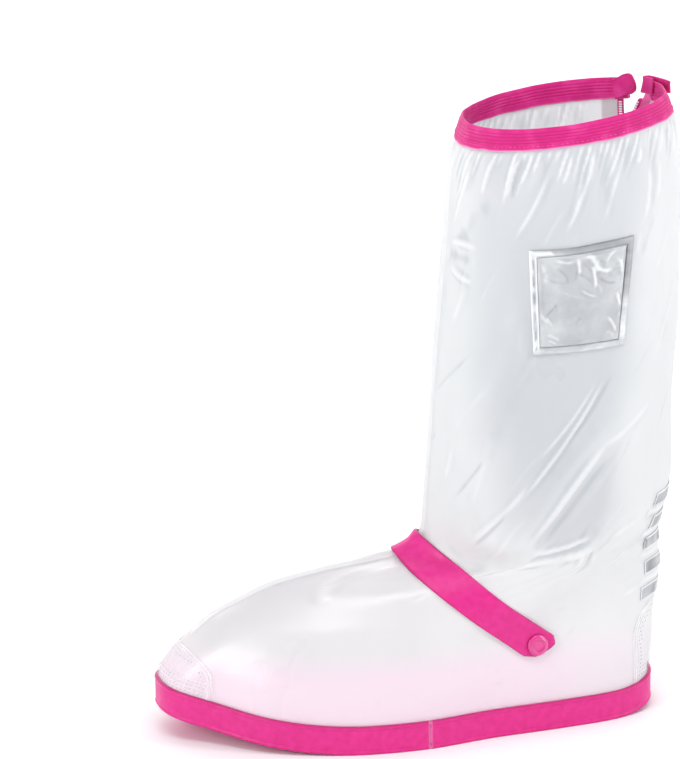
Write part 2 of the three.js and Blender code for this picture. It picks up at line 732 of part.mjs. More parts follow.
function makeRand() {
  const joint = aroundAtX(OUTER, 0, RAND_JOINT_X);
  const gap = CLEARANCE / 2 / sideLength(OUTER, 0);
  const outerShares = soleShares(OUTER);
  const stations = [
    ...[joint + gap, ...outerShares.filter((share) => share > joint + 3 * gap)].map((share) => [OUTER, share]),
    [OUTER, 1],
    ...soleShares(INNER).reverse().map((share) => [INNER, share]),
    [INNER, 0],
    ...[...outerShares.filter((share) => share < joint - 3 * gap), joint - gap].map((share) => [OUTER, share]),
  ];
  const grid = stations.map(([side, share]) =>
    [0, RAND_HEIGHT].map((height) => [
      skin(side, share, height, CLEARANCE + RAND_THICKNESS),
      skin(side, share, height, CLEARANCE),
    ]),
  );
  addPiece('sole_rand', wallGeometry(grid), rubber);
}

// Clear patches at the toe and the heel

function arched(share, point) {
  return (1 - share ** point) ** (1 / point);
}

function makeToeCap() {
  const bottom = RAND_HEIGHT + CLEARANCE;
  const grid = steps(0, 0.97, 7).map((rise) => {
    const half = TOE_CAP_REACH * arched(rise, 2.4);
    const height = mix(bottom, TOE_CAP_TOP, rise);
    return steps(-half, half, 8).map((distance) => seamOverlayPair(0, distance, height, PATCH_THICKNESS));
  });
  addPiece('toe_cap', overlayGeometry(wallGeometry(grid)), clearPatch);
}

function makeHeelCounter() {
  const bottom = RAND_HEIGHT + CLEARANCE;
  const grid = steps(0, 0.98, 7).map((rise) => {
    const half = HEEL_COUNTER_REACH * arched(rise, 3.2) * (0.93 + 0.07 * Math.sin(Math.PI * rise));
    const height = mix(bottom, HEEL_COUNTER_TOP, rise);
    return steps(-half, half, 12).map((distance) => seamOverlayPair(1, distance, height, PATCH_THICKNESS));
  });
  addPiece('heel_counter', overlayGeometry(wallGeometry(grid)), clearPatch);
}

function makeStripes() {
  STRIPE_SPANS.forEach((span, i) => {
    const low = STRIPE_BOTTOM + i * STRIPE_PITCH;
    const grid = [low, low + STRIPE_HEIGHT].map((height) =>
      steps(-span / 2, span / 2, 8).map((distance) => seamOverlayPair(1, distance, height, STRIPE_THICKNESS)),
    );
    addPiece(`reflective_stripe_${i + 1}`, overlayGeometry(wallGeometry(grid)), silver);
  });
}

// Window: its left and right edges as shares of its width, at the bottom and at the top

const WINDOW_BOTTOM = COVER_HEIGHT - WINDOW_BELOW_RIM - WINDOW_HEIGHT;
const WINDOW_EDGES = { bottom: { left: 0.03, right: 0.89 }, top: { left: 0, right: 1 } };

function windowPair(across, up, thickness) {
  const { bottom, top } = WINDOW_EDGES;
  const left = mix(bottom.left, top.left, up);
  const right = mix(bottom.right, top.right, up);
  const x = WINDOW_LEFT_X + WINDOW_WIDTH * mix(left, right, across);
  const height = WINDOW_BOTTOM + WINDOW_HEIGHT * up;
  return overlayPair(OUTER, aroundAtX(OUTER, height, x), height, thickness);
}

function makeWindow() {
  const edge = (WINDOW_FRAME_WIDTH + CLEARANCE) / WINDOW_WIDTH;
  const pane = steps(edge, 1 - edge, 7).map((up) =>
    steps(edge, 1 - edge, 7).map((across) => windowPair(across, up, PATCH_THICKNESS)));
  addPiece('window_patch', overlayGeometry(wallGeometry(pane)), clearPatch);

  const frame = WINDOW_FRAME_WIDTH / WINDOW_WIDTH;
  const corners = [[0, 0], [1, 0], [1, 1], [0, 1]];
  const loop = corners.flatMap(([a, b], i) => {
    const [c, d] = corners[(i + 1) % 4];
    return steps(0, 1, 5).slice(0, -1).map((t) => [mix(a, c, t), mix(b, d, t)]);
  });
  const inset = (value) => mix(frame, 1 - frame, value);
  const ring = loop.map(([across, up]) => [
    windowPair(across, up, PATCH_THICKNESS),
    windowPair(inset(across), inset(up), PATCH_THICKNESS),
  ]);
  addPiece('window_frame', overlayGeometry(wallGeometry(ring, true)), silver);
}

// Rim band: a channel folded over the film, open at the notch

function makeBand() {
  const innerFace = -(FILM_THICKNESS + CLEARANCE);
  const end = notchHalf(COVER_HEIGHT);
  const backEnd = zipAround(COVER_HEIGHT, end);
  const frontEnd = zipAround(COVER_HEIGHT, -end);
  const shares = columnShares();
  const spare = 0.3 / COLUMNS;
  const innerShares = shares.slice(0, -1).reverse();
  const stations = [
    [INNER, frontEnd],
    ...innerShares.filter((share) => share < frontEnd - spare).map((share) => [INNER, share]),
    [OUTER, 0],
    ...shares.map((share) => [OUTER, share]),
    ...innerShares.filter((share) => share > backEnd + spare).map((share) => [INNER, share]),
    [INNER, backEnd],
  ];
  const grid = stations.map(([side, share]) => [
    [skin(side, share, BAND_BOTTOM, CLEARANCE + BAND_THICKNESS), skin(side, share, BAND_BOTTOM, CLEARANCE)],
    [
      skin(side, share, COVER_HEIGHT, CLEARANCE + BAND_THICKNESS),
      skin(side, share, COVER_HEIGHT - BAND_THICKNESS, CLEARANCE),
    ],
    [
      skin(side, share, COVER_HEIGHT, innerFace - BAND_THICKNESS),
      skin(side, share, COVER_HEIGHT - BAND_THICKNESS, innerFace),
    ],
    [skin(side, share, BAND_BOTTOM, innerFace - BAND_THICKNESS), skin(side, share, BAND_BOTTOM, innerFace)],
  ]);
  addPiece('top_band', wallGeometry(grid), webbing);
}

// Round tab inside the front end of the band, and the strap at the back end: fixed inside, turned outward
// round the end and lying back along the band

const BAND_INSIDE = -(FILM_THICKNESS + CLEARANCE + BAND_THICKNESS);
const BAND_OUTSIDE = CLEARANCE + BAND_THICKNESS;

function makeClosureTab() {
  const end = notchHalf(COVER_HEIGHT);
  const straight = TAB_OVERLAP + TAB_REACH - TAB_RADIUS;
  const runs = [
    ...steps(0, straight, 3).slice(0, -1).map((run) => ({ run, half: TAB_RADIUS })),
    ...steps(0, Math.PI * 0.45, 5).map((angle) => ({
      run: straight + TAB_RADIUS * Math.sin(angle),
      half: TAB_RADIUS * Math.cos(angle),
    })),
  ];
  const grid = runs.map(({ run, half }) => {
    const rise = smoothStep(run / straight);
    const middle = COVER_HEIGHT + mix(-BAND_HEIGHT / 2, TAB_RISE - TAB_RADIUS, rise);
    const face = BAND_INSIDE - 2 * CLEARANCE;
    return steps(-half, half, 3).map((up) => {
      const around = zipAround(COVER_HEIGHT, run - TAB_OVERLAP - end);
      return [
        skin(INNER, around, middle + up, face),
        skin(INNER, around, middle + up, face - STRAP_THICKNESS),
      ];
    });
  });
  addPiece('closure_tab', wallGeometry(grid), webbing);
}

// Point at a distance round from the zip, which may lie past the back seam.
function zipSkin(height, distance, offset) {
  const around = zipAround(height, distance);
  if (around <= 1) return skin(INNER, around, height, offset);
  const past = ((around - 1) * sideLength(INNER, height)) / sideLength(OUTER, height);
  return skin(OUTER, 1 - past, height, offset);
}

// Middle line of the strap: distance past the band's end and distance out from the film.
function closureStrapRoute() {
  const half = CLEARANCE + BAND_THICKNESS / 2;
  const inside = BAND_INSIDE - half;
  const outside = BAND_OUTSIDE + half;
  const radius = (outside - inside) / 2;
  const fixed = steps(CLOSURE_STRAP_FIXED, 0, 2).map((distance) => ({ distance, out: inside }));
  const bend = steps(0, Math.PI, 6).slice(1).map((angle) => ({
    distance: -radius * Math.sin(angle),
    out: inside + radius * (1 - Math.cos(angle)),
  }));
  const free = steps(0, 1, 5).slice(1).map((share) => ({
    distance: CLOSURE_STRAP_FREE * share,
    out: outside + CLOSURE_STRAP_SPREAD * share * share,
  }));
  return [...fixed, ...bend, ...free];
}

function makeClosureStrap() {
  const end = notchHalf(COVER_HEIGHT);
  const top = COVER_HEIGHT - CLEARANCE;
  const route = closureStrapRoute();
  const grid = route.map((point, i) => {
    const before = route[Math.max(0, i - 1)];
    const after = route[Math.min(route.length - 1, i + 1)];
    const run = new THREE.Vector2(after.distance - before.distance, after.out - before.out).normalize();
    return steps(top - CLOSURE_STRAP_WIDTH, top, 2).map((height) => {
      const at = (offset) =>
        zipSkin(height, end + point.distance - offset * run.y, point.out + offset * run.x);
      return [at(BAND_THICKNESS / 2), at(-BAND_THICKNESS / 2)];
    });
  });
  addPiece('closure_strap', wallGeometry(grid), webbing);
}

// Zip tapes on the film and coils behind their lips

function makeZipTapes() {
  for (const [name, sign] of [['zip_tape_front', -1], ['zip_tape_back', 1]]) {
    const corner = TAPE_WIDTH * 0.9;
    const heights = [
      ...steps(0, 1, 4).slice(0, -1).map((t) => ZIP_BOTTOM + corner * (1 - Math.cos((Math.PI / 2) * t))),
      ...zipRows.filter((height) => height > ZIP_BOTTOM + corner - 2),
      TAPE_TOP,
    ];
    const grid = heights.map((height) => {
      const drop = clamp01(1 - (height - ZIP_BOTTOM) / corner);
      const width = Math.max(1.5, TAPE_WIDTH * Math.sqrt(1 - drop * drop));
      const lip = notchHalf(height) + CLEARANCE / 2;
      return steps(lip, lip + width, 2).map((distance) =>
        overlayPair(INNER, zipAround(height, sign * distance), height, TAPE_THICKNESS));
    });
    addPiece(name, overlayGeometry(wallGeometry(grid)), webbing);
  }
}

function makeZipCoils() {
  for (const [name, sign] of [['zip_coil_front', -1], ['zip_coil_back', 1]]) {
    const heights = [ZIP_BOTTOM + TAPE_WIDTH / 2 + 3, ...zipRows.slice(1), TAPE_TOP];
    const grid = heights.map((height) => {
      const lip = notchHalf(height) + CLEARANCE;
      return steps(lip, lip + COIL_WIDTH, 1).map((distance) => {
        const around = zipAround(height, sign * distance);
        return [
          skin(INNER, around, height, -0.2),
          skin(INNER, around, height, -0.2 - COIL_THICKNESS),
        ];
      });
    });
    addPiece(name, wallGeometry(grid), whiteCoil);
  }
}

// Slider and pull, drawn lying flat: X across the zip, Y up along it, Z out of the film

function sliderFrame() {
  const around = zipAround(ZIP_OPEN_HEIGHT, 0);
  const origin = skin(INNER, around, ZIP_OPEN_HEIGHT, CLEARANCE + TAPE_THICKNESS + CLEARANCE);
  const out = skinNormal(INNER, around, ZIP_OPEN_HEIGHT);
  const reach = SLIDER_LENGTH;
  const above = skin(INNER, zipAround(ZIP_OPEN_HEIGHT + reach, 0), ZIP_OPEN_HEIGHT + reach, 0);
  const below = skin(INNER, zipAround(ZIP_OPEN_HEIGHT - reach, 0), ZIP_OPEN_HEIGHT - reach, 0);
  const up = above.sub(below).normalize();
  const across = up.clone().cross(out).normalize();
  const outward = across.clone().cross(up);
  return new THREE.Matrix4().makeBasis(across, up, outward).setPosition(origin);
}

const BRIDGE_LENGTH = SLIDER_LENGTH - 3;
const BRIDGE_OPENING = PULL_BAR * 2.2;

function plateShape(width, length, radius) {
  const [x, y] = [width / 2, length / 2];
  const shape = new THREE.Shape();
  shape.moveTo(-x + radius, -y);
  shape.lineTo(x - radius, -y);
  shape.absarc(x - radius, -y + radius, radius, -Math.PI / 2, 0, false);
  shape.lineTo(x, y - radius);
  shape.absarc(x - radius, y - radius, radius, 0, Math.PI / 2, false);
  shape.lineTo(-x + radius, y);
  shape.absarc(-x + radius, y - radius, radius, Math.PI / 2, Math.PI, false);
  shape.lineTo(-x, -y + radius);
  shape.absarc(-x + radius, -y + radius, radius, Math.PI, Math.PI * 1.5, false);
  return shape;
}

function makeSlider(frame) {
  const plate = new THREE.ExtrudeGeometry(plateShape(SLIDER_WIDTH, SLIDER_LENGTH, 2.4), {
    depth: SLIDER_THICKNESS,
    bevelEnabled: false,
    curveSegments: 3,
  });
  const sunk = SLIDER_THICKNESS / 2;
  const side = new THREE.Shape();
  const half = BRIDGE_LENGTH / 2;
  const top = sunk + BRIDGE_OPENING + BRIDGE_THICKNESS;
  side.moveTo(-half, 0);
  side.lineTo(-half, top - 1);
  side.lineTo(-half + 1, top);
  side.lineTo(half - 1, top);
  side.lineTo(half, top - 1);
  side.lineTo(half, 0);
  side.lineTo(half - BRIDGE_THICKNESS, 0);
  side.lineTo(half - BRIDGE_THICKNESS, sunk + BRIDGE_OPENING);
  side.lineTo(-half + BRIDGE_THICKNESS, sunk + BRIDGE_OPENING);
  side.lineTo(-half + BRIDGE_THICKNESS, 0);
  side.closePath();
  const bridge = new THREE.ExtrudeGeometry(side, { depth: BRIDGE_WIDTH, bevelEnabled: false });
  bridge.translate(0, 0, -BRIDGE_WIDTH / 2);
  const upright = new THREE.Matrix4().makeBasis(
    new THREE.Vector3(0, 1, 0),
    new THREE.Vector3(0, 0, 1),
    new THREE.Vector3(1, 0, 0),
  );
  bridge.applyMatrix4(upright);
  bridge.translate(0, 0, SLIDER_THICKNESS - sunk);
  const body = toGeometry(toSolid(plate).add(toSolid(bridge)));
  const mesh = addPiece('zip_slider', body, zincAlloy);
  mesh.applyMatrix4(frame);
}

function makePull(frame) {
  const eyeHalf = BRIDGE_WIDTH / 2 + 0.7;
  const eyeLength = BRIDGE_LENGTH / 2 + 1.2;
  const halfWidth = eyeHalf + PULL_SIDE;
  const top = PULL_BAR / 2;
  const outline = new THREE.Shape();
  outline.moveTo(-halfWidth, top);
  outline.lineTo(-halfWidth, -eyeLength - 1.5);
  outline.lineTo(-halfWidth * 0.8, -PULL_LENGTH + 2);
  outline.absarc(0, -PULL_LENGTH + 2, halfWidth * 0.8, Math.PI, Math.PI * 2, false);
  outline.lineTo(halfWidth, -eyeLength - 1.5);
  outline.lineTo(halfWidth, top);
  outline.closePath();
  const eye = new THREE.Path();
  eye.moveTo(-eyeHalf, -top);
  eye.lineTo(eyeHalf, -top);
  eye.lineTo(eyeHalf, -eyeLength);
  eye.lineTo(-eyeHalf, -eyeLength);
  eye.closePath();
  outline.holes.push(eye);
  const plate = new THREE.ExtrudeGeometry(outline, {
    depth: PULL_THICKNESS,
    bevelEnabled: false,
    curveSegments: 5,
  });
  plate.translate(0, 0, SLIDER_THICKNESS + BRIDGE_OPENING / 2 - PULL_THICKNESS / 2);
  const mesh = addPiece('zip_pull', plate, zincAlloy);
  mesh.applyMatrix4(frame);
}

// Instep strap: the band of film between planes parallel to the one through its two snaps and the ridge

function strapPlane() {
  const outerSnap = basePoint(OUTER, aroundAtX(OUTER, STRAP_SNAP_HEIGHT, STRAP_SNAP_X), STRAP_SNAP_HEIGHT);
  const innerHeight = STRAP_INNER_SNAP_HEIGHT;
  const innerSnap = basePoint(INNER, aroundAtX(INNER, innerHeight, STRAP_INNER_SNAP_X), innerHeight);
  const ridge = basePoint(OUTER, 0, ANKLE_HEIGHT - STRAP_BELOW_ANKLE);
  const plane = new THREE.Plane().setFromCoplanarPoints(ridge, outerSnap, innerSnap);
  return plane.normal.x < 0 ? plane.negate() : plane;
}

const STRAP_STEPS = 60;

// Places on the film in one of the planes, from the ridge down one side: {around, height, point}.
function strapLine(plane, side, offset) {
  const past = (around, height) => plane.distanceToPoint(basePoint(side, around, height)) - offset;
  const ridgeHeight = rootOf((height) => past(0, height), ANKLE_HEIGHT * 0.4, ANKLE_HEIGHT * 1.3);
  const places = steps(0, 1, STRAP_STEPS).map((t) => {
    const height = mix(ridgeHeight, RAND_HEIGHT, t * t);
    const around = t === 0 ? 0 : rootOf((share) => past(share, height), 0, 1);
    return { around, height, point: basePoint(side, around, height) };
  });
  let length = 0;
  places.forEach((place, i) => {
    if (i > 0) length += place.point.distanceTo(places[i - 1].point);
    place.length = length;
  });
  return (target) => {
    const next = Math.max(1, places.findIndex((place) => place.length >= target));
    const [a, b] = [places[next - 1], places[next]];
    const t = clamp01((target - a.length) / (b.length - a.length));
    return { around: mix(a.around, b.around, t), height: mix(a.height, b.height, t) };
  };
}

function lengthTo(plane, side, height) {
  const line = strapLine(plane, side, 0);
  return rootOf((length) => height - line(length).height, 0, 2 * ANKLE_HEIGHT);
}

function makeStrap() {
  const plane = strapPlane();
  const reach = {
    [OUTER]: lengthTo(plane, OUTER, STRAP_SNAP_HEIGHT),
    [INNER]: lengthTo(plane, INNER, STRAP_INNER_SNAP_HEIGHT),
  };
  const offsets = [-1, -0.6, 0, 0.6, 1].map((share) => (share * STRAP_WIDTH) / 2);
  const lines = offsets.map((offset) => ({
    offset,
    [OUTER]: strapLine(plane, OUTER, offset),
    [INNER]: strapLine(plane, INNER, offset),
  }));
  const cut = (offset) => STRAP_CHAMFER * smoothStep((Math.abs(offset) * 2 / STRAP_WIDTH - 0.6) / 0.4);
  const shares = [...steps(-1, 0, 13), ...steps(0, 1, 9).slice(1)];
  const grid = shares.map((share) => {
    const side = share < 0 ? OUTER : INNER;
    return lines.map((line) => {
      const length = Math.abs(share) * (reach[side] + STRAP_END - cut(line.offset));
      const place = line[side](length);
      const lift = (SEAM_FIN + CLEARANCE) * bell(length / 9);
      return overlayPair(side, place.around, place.height, STRAP_THICKNESS, lift);
    });
  });
  addPiece('instep_strap', overlayGeometry(wallGeometry(grid)), rubber);

  for (const [name, side] of [['strap_snap_outer', OUTER], ['strap_snap_inner', INNER]]) {
    const place = strapLine(plane, side, 0)(reach[side]);
    addSnap(name, side, place);
  }
}

// How far the film round a place stands out over the flat of a disc laid on it there.
function swellRound(side, place, radius) {
  const origin = skin(side, place.around, place.height, 0);
  const out = skinNormal(side, place.around, place.height);
  const turn = radius / sideLength(side, place.height);
  const swells = steps(0, Math.PI * 2, 12).map((angle) =>
    skin(side, place.around + turn * Math.cos(angle), place.height + radius * Math.sin(angle), 0)
      .sub(origin)
      .dot(out));
  return Math.max(0, ...swells);
}

function addSnap(name, side, place) {
  const radius = SNAP_DIAMETER / 2;
  const seat = CLEARANCE + STRAP_THICKNESS + CLEARANCE + swellRound(side, place, radius);
  const out = skinNormal(side, place.around, place.height);
  const profile = [
    new THREE.Vector2(0, 0),
    new THREE.Vector2(radius * 0.94, 0),
    new THREE.Vector2(radius, SNAP_HEIGHT * 0.3),
    new THREE.Vector2(radius * 0.88, SNAP_HEIGHT * 0.75),
    new THREE.Vector2(radius * 0.5, SNAP_HEIGHT * 0.95),
    new THREE.Vector2(0, SNAP_HEIGHT),
  ];
  const cap = new THREE.LatheGeometry(profile, 14);
  const mesh = addPiece(name, toGeometry(toSolid(cap)), glossyCap);
  mesh.quaternion.setFromUnitVectors(new THREE.Vector3(0, 1, 0), out);
  mesh.position.copy(skin(side, place.around, place.height, seat));
}

makeSole();
makeRand();
makeUpper();
makeToeCap();
makeHeelCounter();
makeBand();
makeClosureTab();
makeClosureStrap();
makeZipTapes();
makeZipCoils();
const zipFrame = sliderFrame();
makeSlider(zipFrame);
makePull(zipFrame);
makeStrap();
makeWindow();
makeStripes();

export default group;
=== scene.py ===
"""Looks of a knee-high cover of milky film for the left foot: rubber sole, zip, rim band, strap, window.

Lengths in the tables are millimetres; meshes are written in metres. X runs from the toe to the heel, Y from
the outer side (negative) to the inner side and Z up.
"""

import math

import bpy
import numpy as np
from mathutils import Matrix, Vector


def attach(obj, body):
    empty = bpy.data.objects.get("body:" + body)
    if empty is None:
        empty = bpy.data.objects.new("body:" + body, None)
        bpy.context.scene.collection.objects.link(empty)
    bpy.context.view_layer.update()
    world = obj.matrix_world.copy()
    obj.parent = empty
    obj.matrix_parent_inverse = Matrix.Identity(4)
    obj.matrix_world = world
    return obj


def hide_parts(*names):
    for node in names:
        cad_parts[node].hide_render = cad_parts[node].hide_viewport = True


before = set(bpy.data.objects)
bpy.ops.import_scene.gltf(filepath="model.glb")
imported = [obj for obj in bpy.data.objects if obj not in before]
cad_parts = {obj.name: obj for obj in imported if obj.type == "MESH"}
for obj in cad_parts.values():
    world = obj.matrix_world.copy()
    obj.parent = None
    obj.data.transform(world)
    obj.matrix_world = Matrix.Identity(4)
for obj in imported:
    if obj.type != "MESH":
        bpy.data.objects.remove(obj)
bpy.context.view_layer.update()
random = np.random.default_rng(7)

OUTER, INNER = -1, 1

# Sole and foot
SOLE_LENGTH, SOLE_WIDTH, SOLE_THICKNESS = 295, 102, 4.5
TOE_SPRING, TOE_SPRING_LENGTH, TOE_SWING = 16, 115, 17
HEEL_LIFT, HEEL_LIFT_LENGTH = 5, 28
RAND_HEIGHT, RAND_THICKNESS, RAND_JOINT_X = 17.5, 2, 0.6

# Film upper
ANKLE_HEIGHT, COVER_HEIGHT = 119, 380
RIM_DROP, RIM_LEAN = 15, 4.3
SHAFT_DEPTH, SHAFT_WIDTH, SHAFT_CENTRE_X = 150, 128, 89
SEAM_FIN, FOLD_DEPTH, GATHER_DEPTH, GATHER_LENGTH, GATHER_COLUMNS = 2.2, 4, 1.3, 42, 24

# Rim band and its closure
BAND_HEIGHT, BAND_THICKNESS, NOTCH_WIDTH = 13, 1.2, 20
TAB_RADIUS, TAB_OVERLAP, TAB_REACH, TAB_RISE = 6, 8, 10, 3
CLOSURE_STRAP_WIDTH, CLOSURE_STRAP_FIXED, CLOSURE_STRAP_FREE, CLOSURE_STRAP_SPREAD = 10, 12, 24, 2.6

# Zip
ZIP_BOTTOM, ZIP_OPEN_HEIGHT = 70, 350
TAPE_WIDTH, TAPE_THICKNESS, SLOT_WIDTH = 14, 1, 8
COIL_WIDTH, COIL_THICKNESS = 2.4, 1.4

# Strap, patches and stripes
STRAP_WIDTH, STRAP_THICKNESS, STRAP_RIDGE_HEIGHT, STRAP_END, STRAP_CHAMFER = 20, 1.8, 108, 7.5, 4
STRAP_SNAP = {OUTER: (69, 54.5), INNER: (43, 76)}
SNAP_DIAMETER, SNAP_HEIGHT = 13, 2.2
PATCH_THICKNESS = 0.8
TOE_CAP_TOP, TOE_CAP_REACH, HEEL_COUNTER_TOP, HEEL_COUNTER_REACH = 45.5, 42, 66, 38
WINDOW_WIDTH, WINDOW_HEIGHT, WINDOW_LEFT_X, WINDOW_BELOW_RIM, WINDOW_FRAME_WIDTH = 61.5, 65, 61.5, 73.5, 4
STRIPE_PITCH, STRIPE_HEIGHT, STRIPE_BOTTOM, STRIPE_THICKNESS = 16.1, 8.2, 66.8, 0.6
STRIPE_SPANS = (54, 48, 48, 62, 76)

CLEARANCE = 0.3
BAND_BOTTOM = COVER_HEIGHT - BAND_HEIGHT
FILM_BOTTOM = SOLE_THICKNESS + CLEARANCE
FILM_TOP = COVER_HEIGHT - BAND_THICKNESS - CLEARANCE
WINDOW_BOTTOM = COVER_HEIGHT - WINDOW_BELOW_RIM - WINDOW_HEIGHT
WINDOW_EDGES = ((0.03, 0.89), (0.0, 1.0))
STRIPES_TOP = STRIPE_BOTTOM + (len(STRIPE_SPANS) - 1) * STRIPE_PITCH + STRIPE_HEIGHT
SHAFT_GIRTH = math.pi * (SHAFT_DEPTH + SHAFT_WIDTH) / 4

# Outline of the sole: station, outer width, inner width, as shares
SOLE_OUTLINE = np.array([
    (-1.0, 0.0, 0.0), (-0.955, 0.36, 0.4), (-0.82, 0.52, 0.78), (-0.6, 0.845, 0.97), (-0.32, 1.0, 1.0),
    (-0.02, 1.0, 0.915), (0.28, 0.845, 0.84), (0.57, 0.75, 0.8), (0.8, 0.64, 0.73), (0.945, 0.45, 0.5),
    (1.0, 0.0, 0.0),
])

# Level sections: height, front, back, widest station, outer width, inner width, squareness, sole's share.
# Lengths are shares of the ankle's height and the sole in the foot, and of the shaft's size above it.
FOOT_LEVELS = np.array([
    (0.0, -1.0, 1.0, -0.3, 1.08, 0.92, 2.4, 1), (0.15, -1.0, 1.0, -0.3, 1.08, 0.92, 2.4, 1),
    (0.286, -0.955, 1.02, -0.3, 1.05, 0.92, 2.3, 0.8), (0.437, -0.87, 1.03, -0.13, 0.98, 0.9, 2.1, 0.4),
    (0.563, -0.785, 1.045, 0.1, 0.93, 0.88, 1.9, 0.15), (0.655, -0.68, 1.06, 0.3, 0.93, 0.9, 1.7, 0),
    (0.748, -0.54, 1.062, 0.48, 0.95, 0.93, 1.5, 0), (0.815, -0.326, 1.06, 0.56, 0.97, 0.95, 1.35, 0),
    (0.866, -0.06, 1.057, 0.59, 0.985, 0.965, 1.35, 0), (0.924, 0.037, 1.058, 0.59, 1.01, 0.99, 1.55, 0),
    (1.0, 0.077, 1.066, 0.58, 1.045, 1.03, 1.8, 0),
])
SHAFT_LEVELS = np.array([
    (0.096, -1.005, 0.961, -0.02, 0.89, 0.88, 2.0, 0), (0.287, -0.956, 0.976, 0.0, 0.965, 0.96, 2.05, 0),
    (0.525, -0.891, 1.021, 0.05, 1.0, 1.0, 2.1, 0), (0.759, -0.823, 1.022, 0.08, 0.99, 0.99, 2.1, 0),
    (0.885, -0.79, 0.997, 0.083, 0.985, 0.985, 2.1, 0), (1.0, -0.66, 0.89, 0.08, 1.0, 1.0, 2.05, 0),
])

# Route of the zip: share of the cover's height, share of half the shaft's depth behind its centre
ZIP_ROUTE = np.array([
    (0.17, 0.2), (0.26, 0.26), (0.36, 0.28), (0.48, 0.27), (0.62, 0.38), (0.8, 0.62), (0.92, 0.77),
    (1.0, 0.815),
])

# Main folds: side, start (around, height), end (around, height), depth share, half width share
MAIN_FOLDS = [
    (OUTER, 0.55, 0.92, 0.12, 0.42, 0.8, 0.09), (OUTER, 0.48, 0.84, 0.18, 0.36, -0.6, 0.08),
    (OUTER, 0.8, 0.9, 0.55, 0.36, 0.6, 0.09), (OUTER, 0.72, 0.66, 0.34, 0.34, -0.6, 0.08),
    (OUTER, 0.22, 0.9, 0.05, 0.8, -0.7, 0.06), (OUTER, 0.3, 0.3, 0.7, 0.33, -0.7, 0.09),
    (OUTER, 0.2, 0.34, 0.5, 0.26, 0.7, 0.07), (INNER, 0.45, 0.88, 0.15, 0.45, 0.6, 0.09),
    (INNER, 0.9, 0.8, 0.8, 0.45, -0.5, 0.08), (INNER, 0.15, 0.36, 0.5, 0.3, -0.8, 0.08),
    (INNER, 0.1, 0.42, 0.48, 0.37, 0.6, 0.07),
]

# Wrinkles seen on the film: start (around, height), end (around, height), depth, half width, bow
WRINKLES = [
    (0.13, 0.955, 0.03, 0.83, 0.7, 1.6, 2), (0.11, 0.95, 0.055, 0.88, 0.5, 1.4, 1),
    (0.205, 0.96, 0.17, 0.89, 0.6, 1.5, 1), (0.3, 0.965, 0.265, 0.89, 1.0, 1.5, -1),
    (0.312, 0.96, 0.28, 0.885, -0.8, 1.6, -1), (0.33, 0.965, 0.3, 0.91, 0.6, 1.4, 1),
    (0.4, 0.96, 0.27, 0.81, 0.7, 2.2, 3), (0.445, 0.96, 0.415, 0.9, 0.5, 1.5, 1),
    (0.51, 0.95, 0.42, 0.82, 0.7, 2.0, 2), (0.48, 0.925, 0.445, 0.855, 0.4, 1.8, 1),
    (0.58, 0.92, 0.53, 0.83, 0.5, 2.2, 1), (0.66, 0.94, 0.645, 0.915, 0.7, 1.4, 0),
    (0.69, 0.925, 0.66, 0.81, 1.0, 3.0, 2), (0.67, 0.83, 0.61, 0.69, 0.9, 3.4, -2),
    (0.74, 0.92, 0.71, 0.84, 0.6, 2.4, 1), (0.02, 0.81, 0.18, 0.807, 1.2, 1.6, 1),
    (0.03, 0.775, 0.18, 0.75, 1.2, 1.6, -2), (0.0, 0.79, 0.17, 0.785, -2.2, 6.0, 0),
    (0.58, 0.605, 0.32, 0.37, 0.9, 1.7, 4), (0.56, 0.605, 0.365, 0.44, 0.5, 1.5, 3),
    (0.597, 0.6, 0.44, 0.465, -0.6, 2.2, 3), (0.75, 0.54, 0.56, 0.47, 0.8, 2.6, 1),
    (0.6, 0.492, 0.38, 0.3, 1.6, 2.4, -1), (0.63, 0.48, 0.42, 0.3, -1.5, 4.0, -1),
    (0.38, 0.276, 0.63, 0.3, 1.4, 1.6, -2), (0.39, 0.286, 0.61, 0.31, -1.5, 1.9, -1),
    (0.39, 0.298, 0.6, 0.322, 1.3, 1.8, -3), (0.41, 0.266, 0.56, 0.285, -1.1, 1.6, 2),
    (0.655, 0.255, 0.6, 0.295, -1.2, 1.5, 1), (0.6, 0.26, 0.56, 0.295, 1.0, 1.5, -1),
    (0.18, 0.3, 0.39, 0.435, 0.7, 2.2, -3), (0.2, 0.298, 0.33, 0.385, -0.5, 2.0, -2),
    (0.13, 0.48, 0.1, 0.4, 0.5, 2.4, 1), (0.25, 0.5, 0.19, 0.35, 0.5, 3.0, 2),
    (0.65, 0.305, 0.755, 0.335, 0.6, 1.8, 2), (0.74, 0.255, 0.78, 0.28, 0.6, 1.5, 0),
    (0.84, 0.195, 0.93, 0.202, 0.7, 1.8, 1), (0.175, 0.218, 0.09, 0.254, 0.5, 1.3, 1),
    (0.19, 0.219, 0.045, 0.262, 0.6, 1.4, 2), (0.145, 0.255, 0.03, 0.28, 0.5, 1.4, 1),
    (0.4, 0.063, 0.4, 0.094, -0.3, 2.0, 0),
]

# Wrinkles at random: place across and up, length, depth and half width, each from and to. Places across are
# shares of the shaft's girth or the pane's width; heights are millimetres, or shares on the pane.
SHAFT_STRAYS = (0.05, 0.95), (105, 340), (30, 80), (0.2, 0.5), (1.6, 4.0)
FOOT_STRAYS = (0.03, 0.95), (24, 100), (8, 30), (0.1, 0.34), (1.4, 3.2)
PANE_STRAYS = (0.05, 0.95), (0.05, 0.95), (6, 20), (0.08, 0.25), (0.9, 1.8)
SHAFT_STRAY_COUNT, FOOT_STRAY_COUNT, PANE_STRAY_COUNT = {OUTER: 28, INNER: 60}, 30, 22

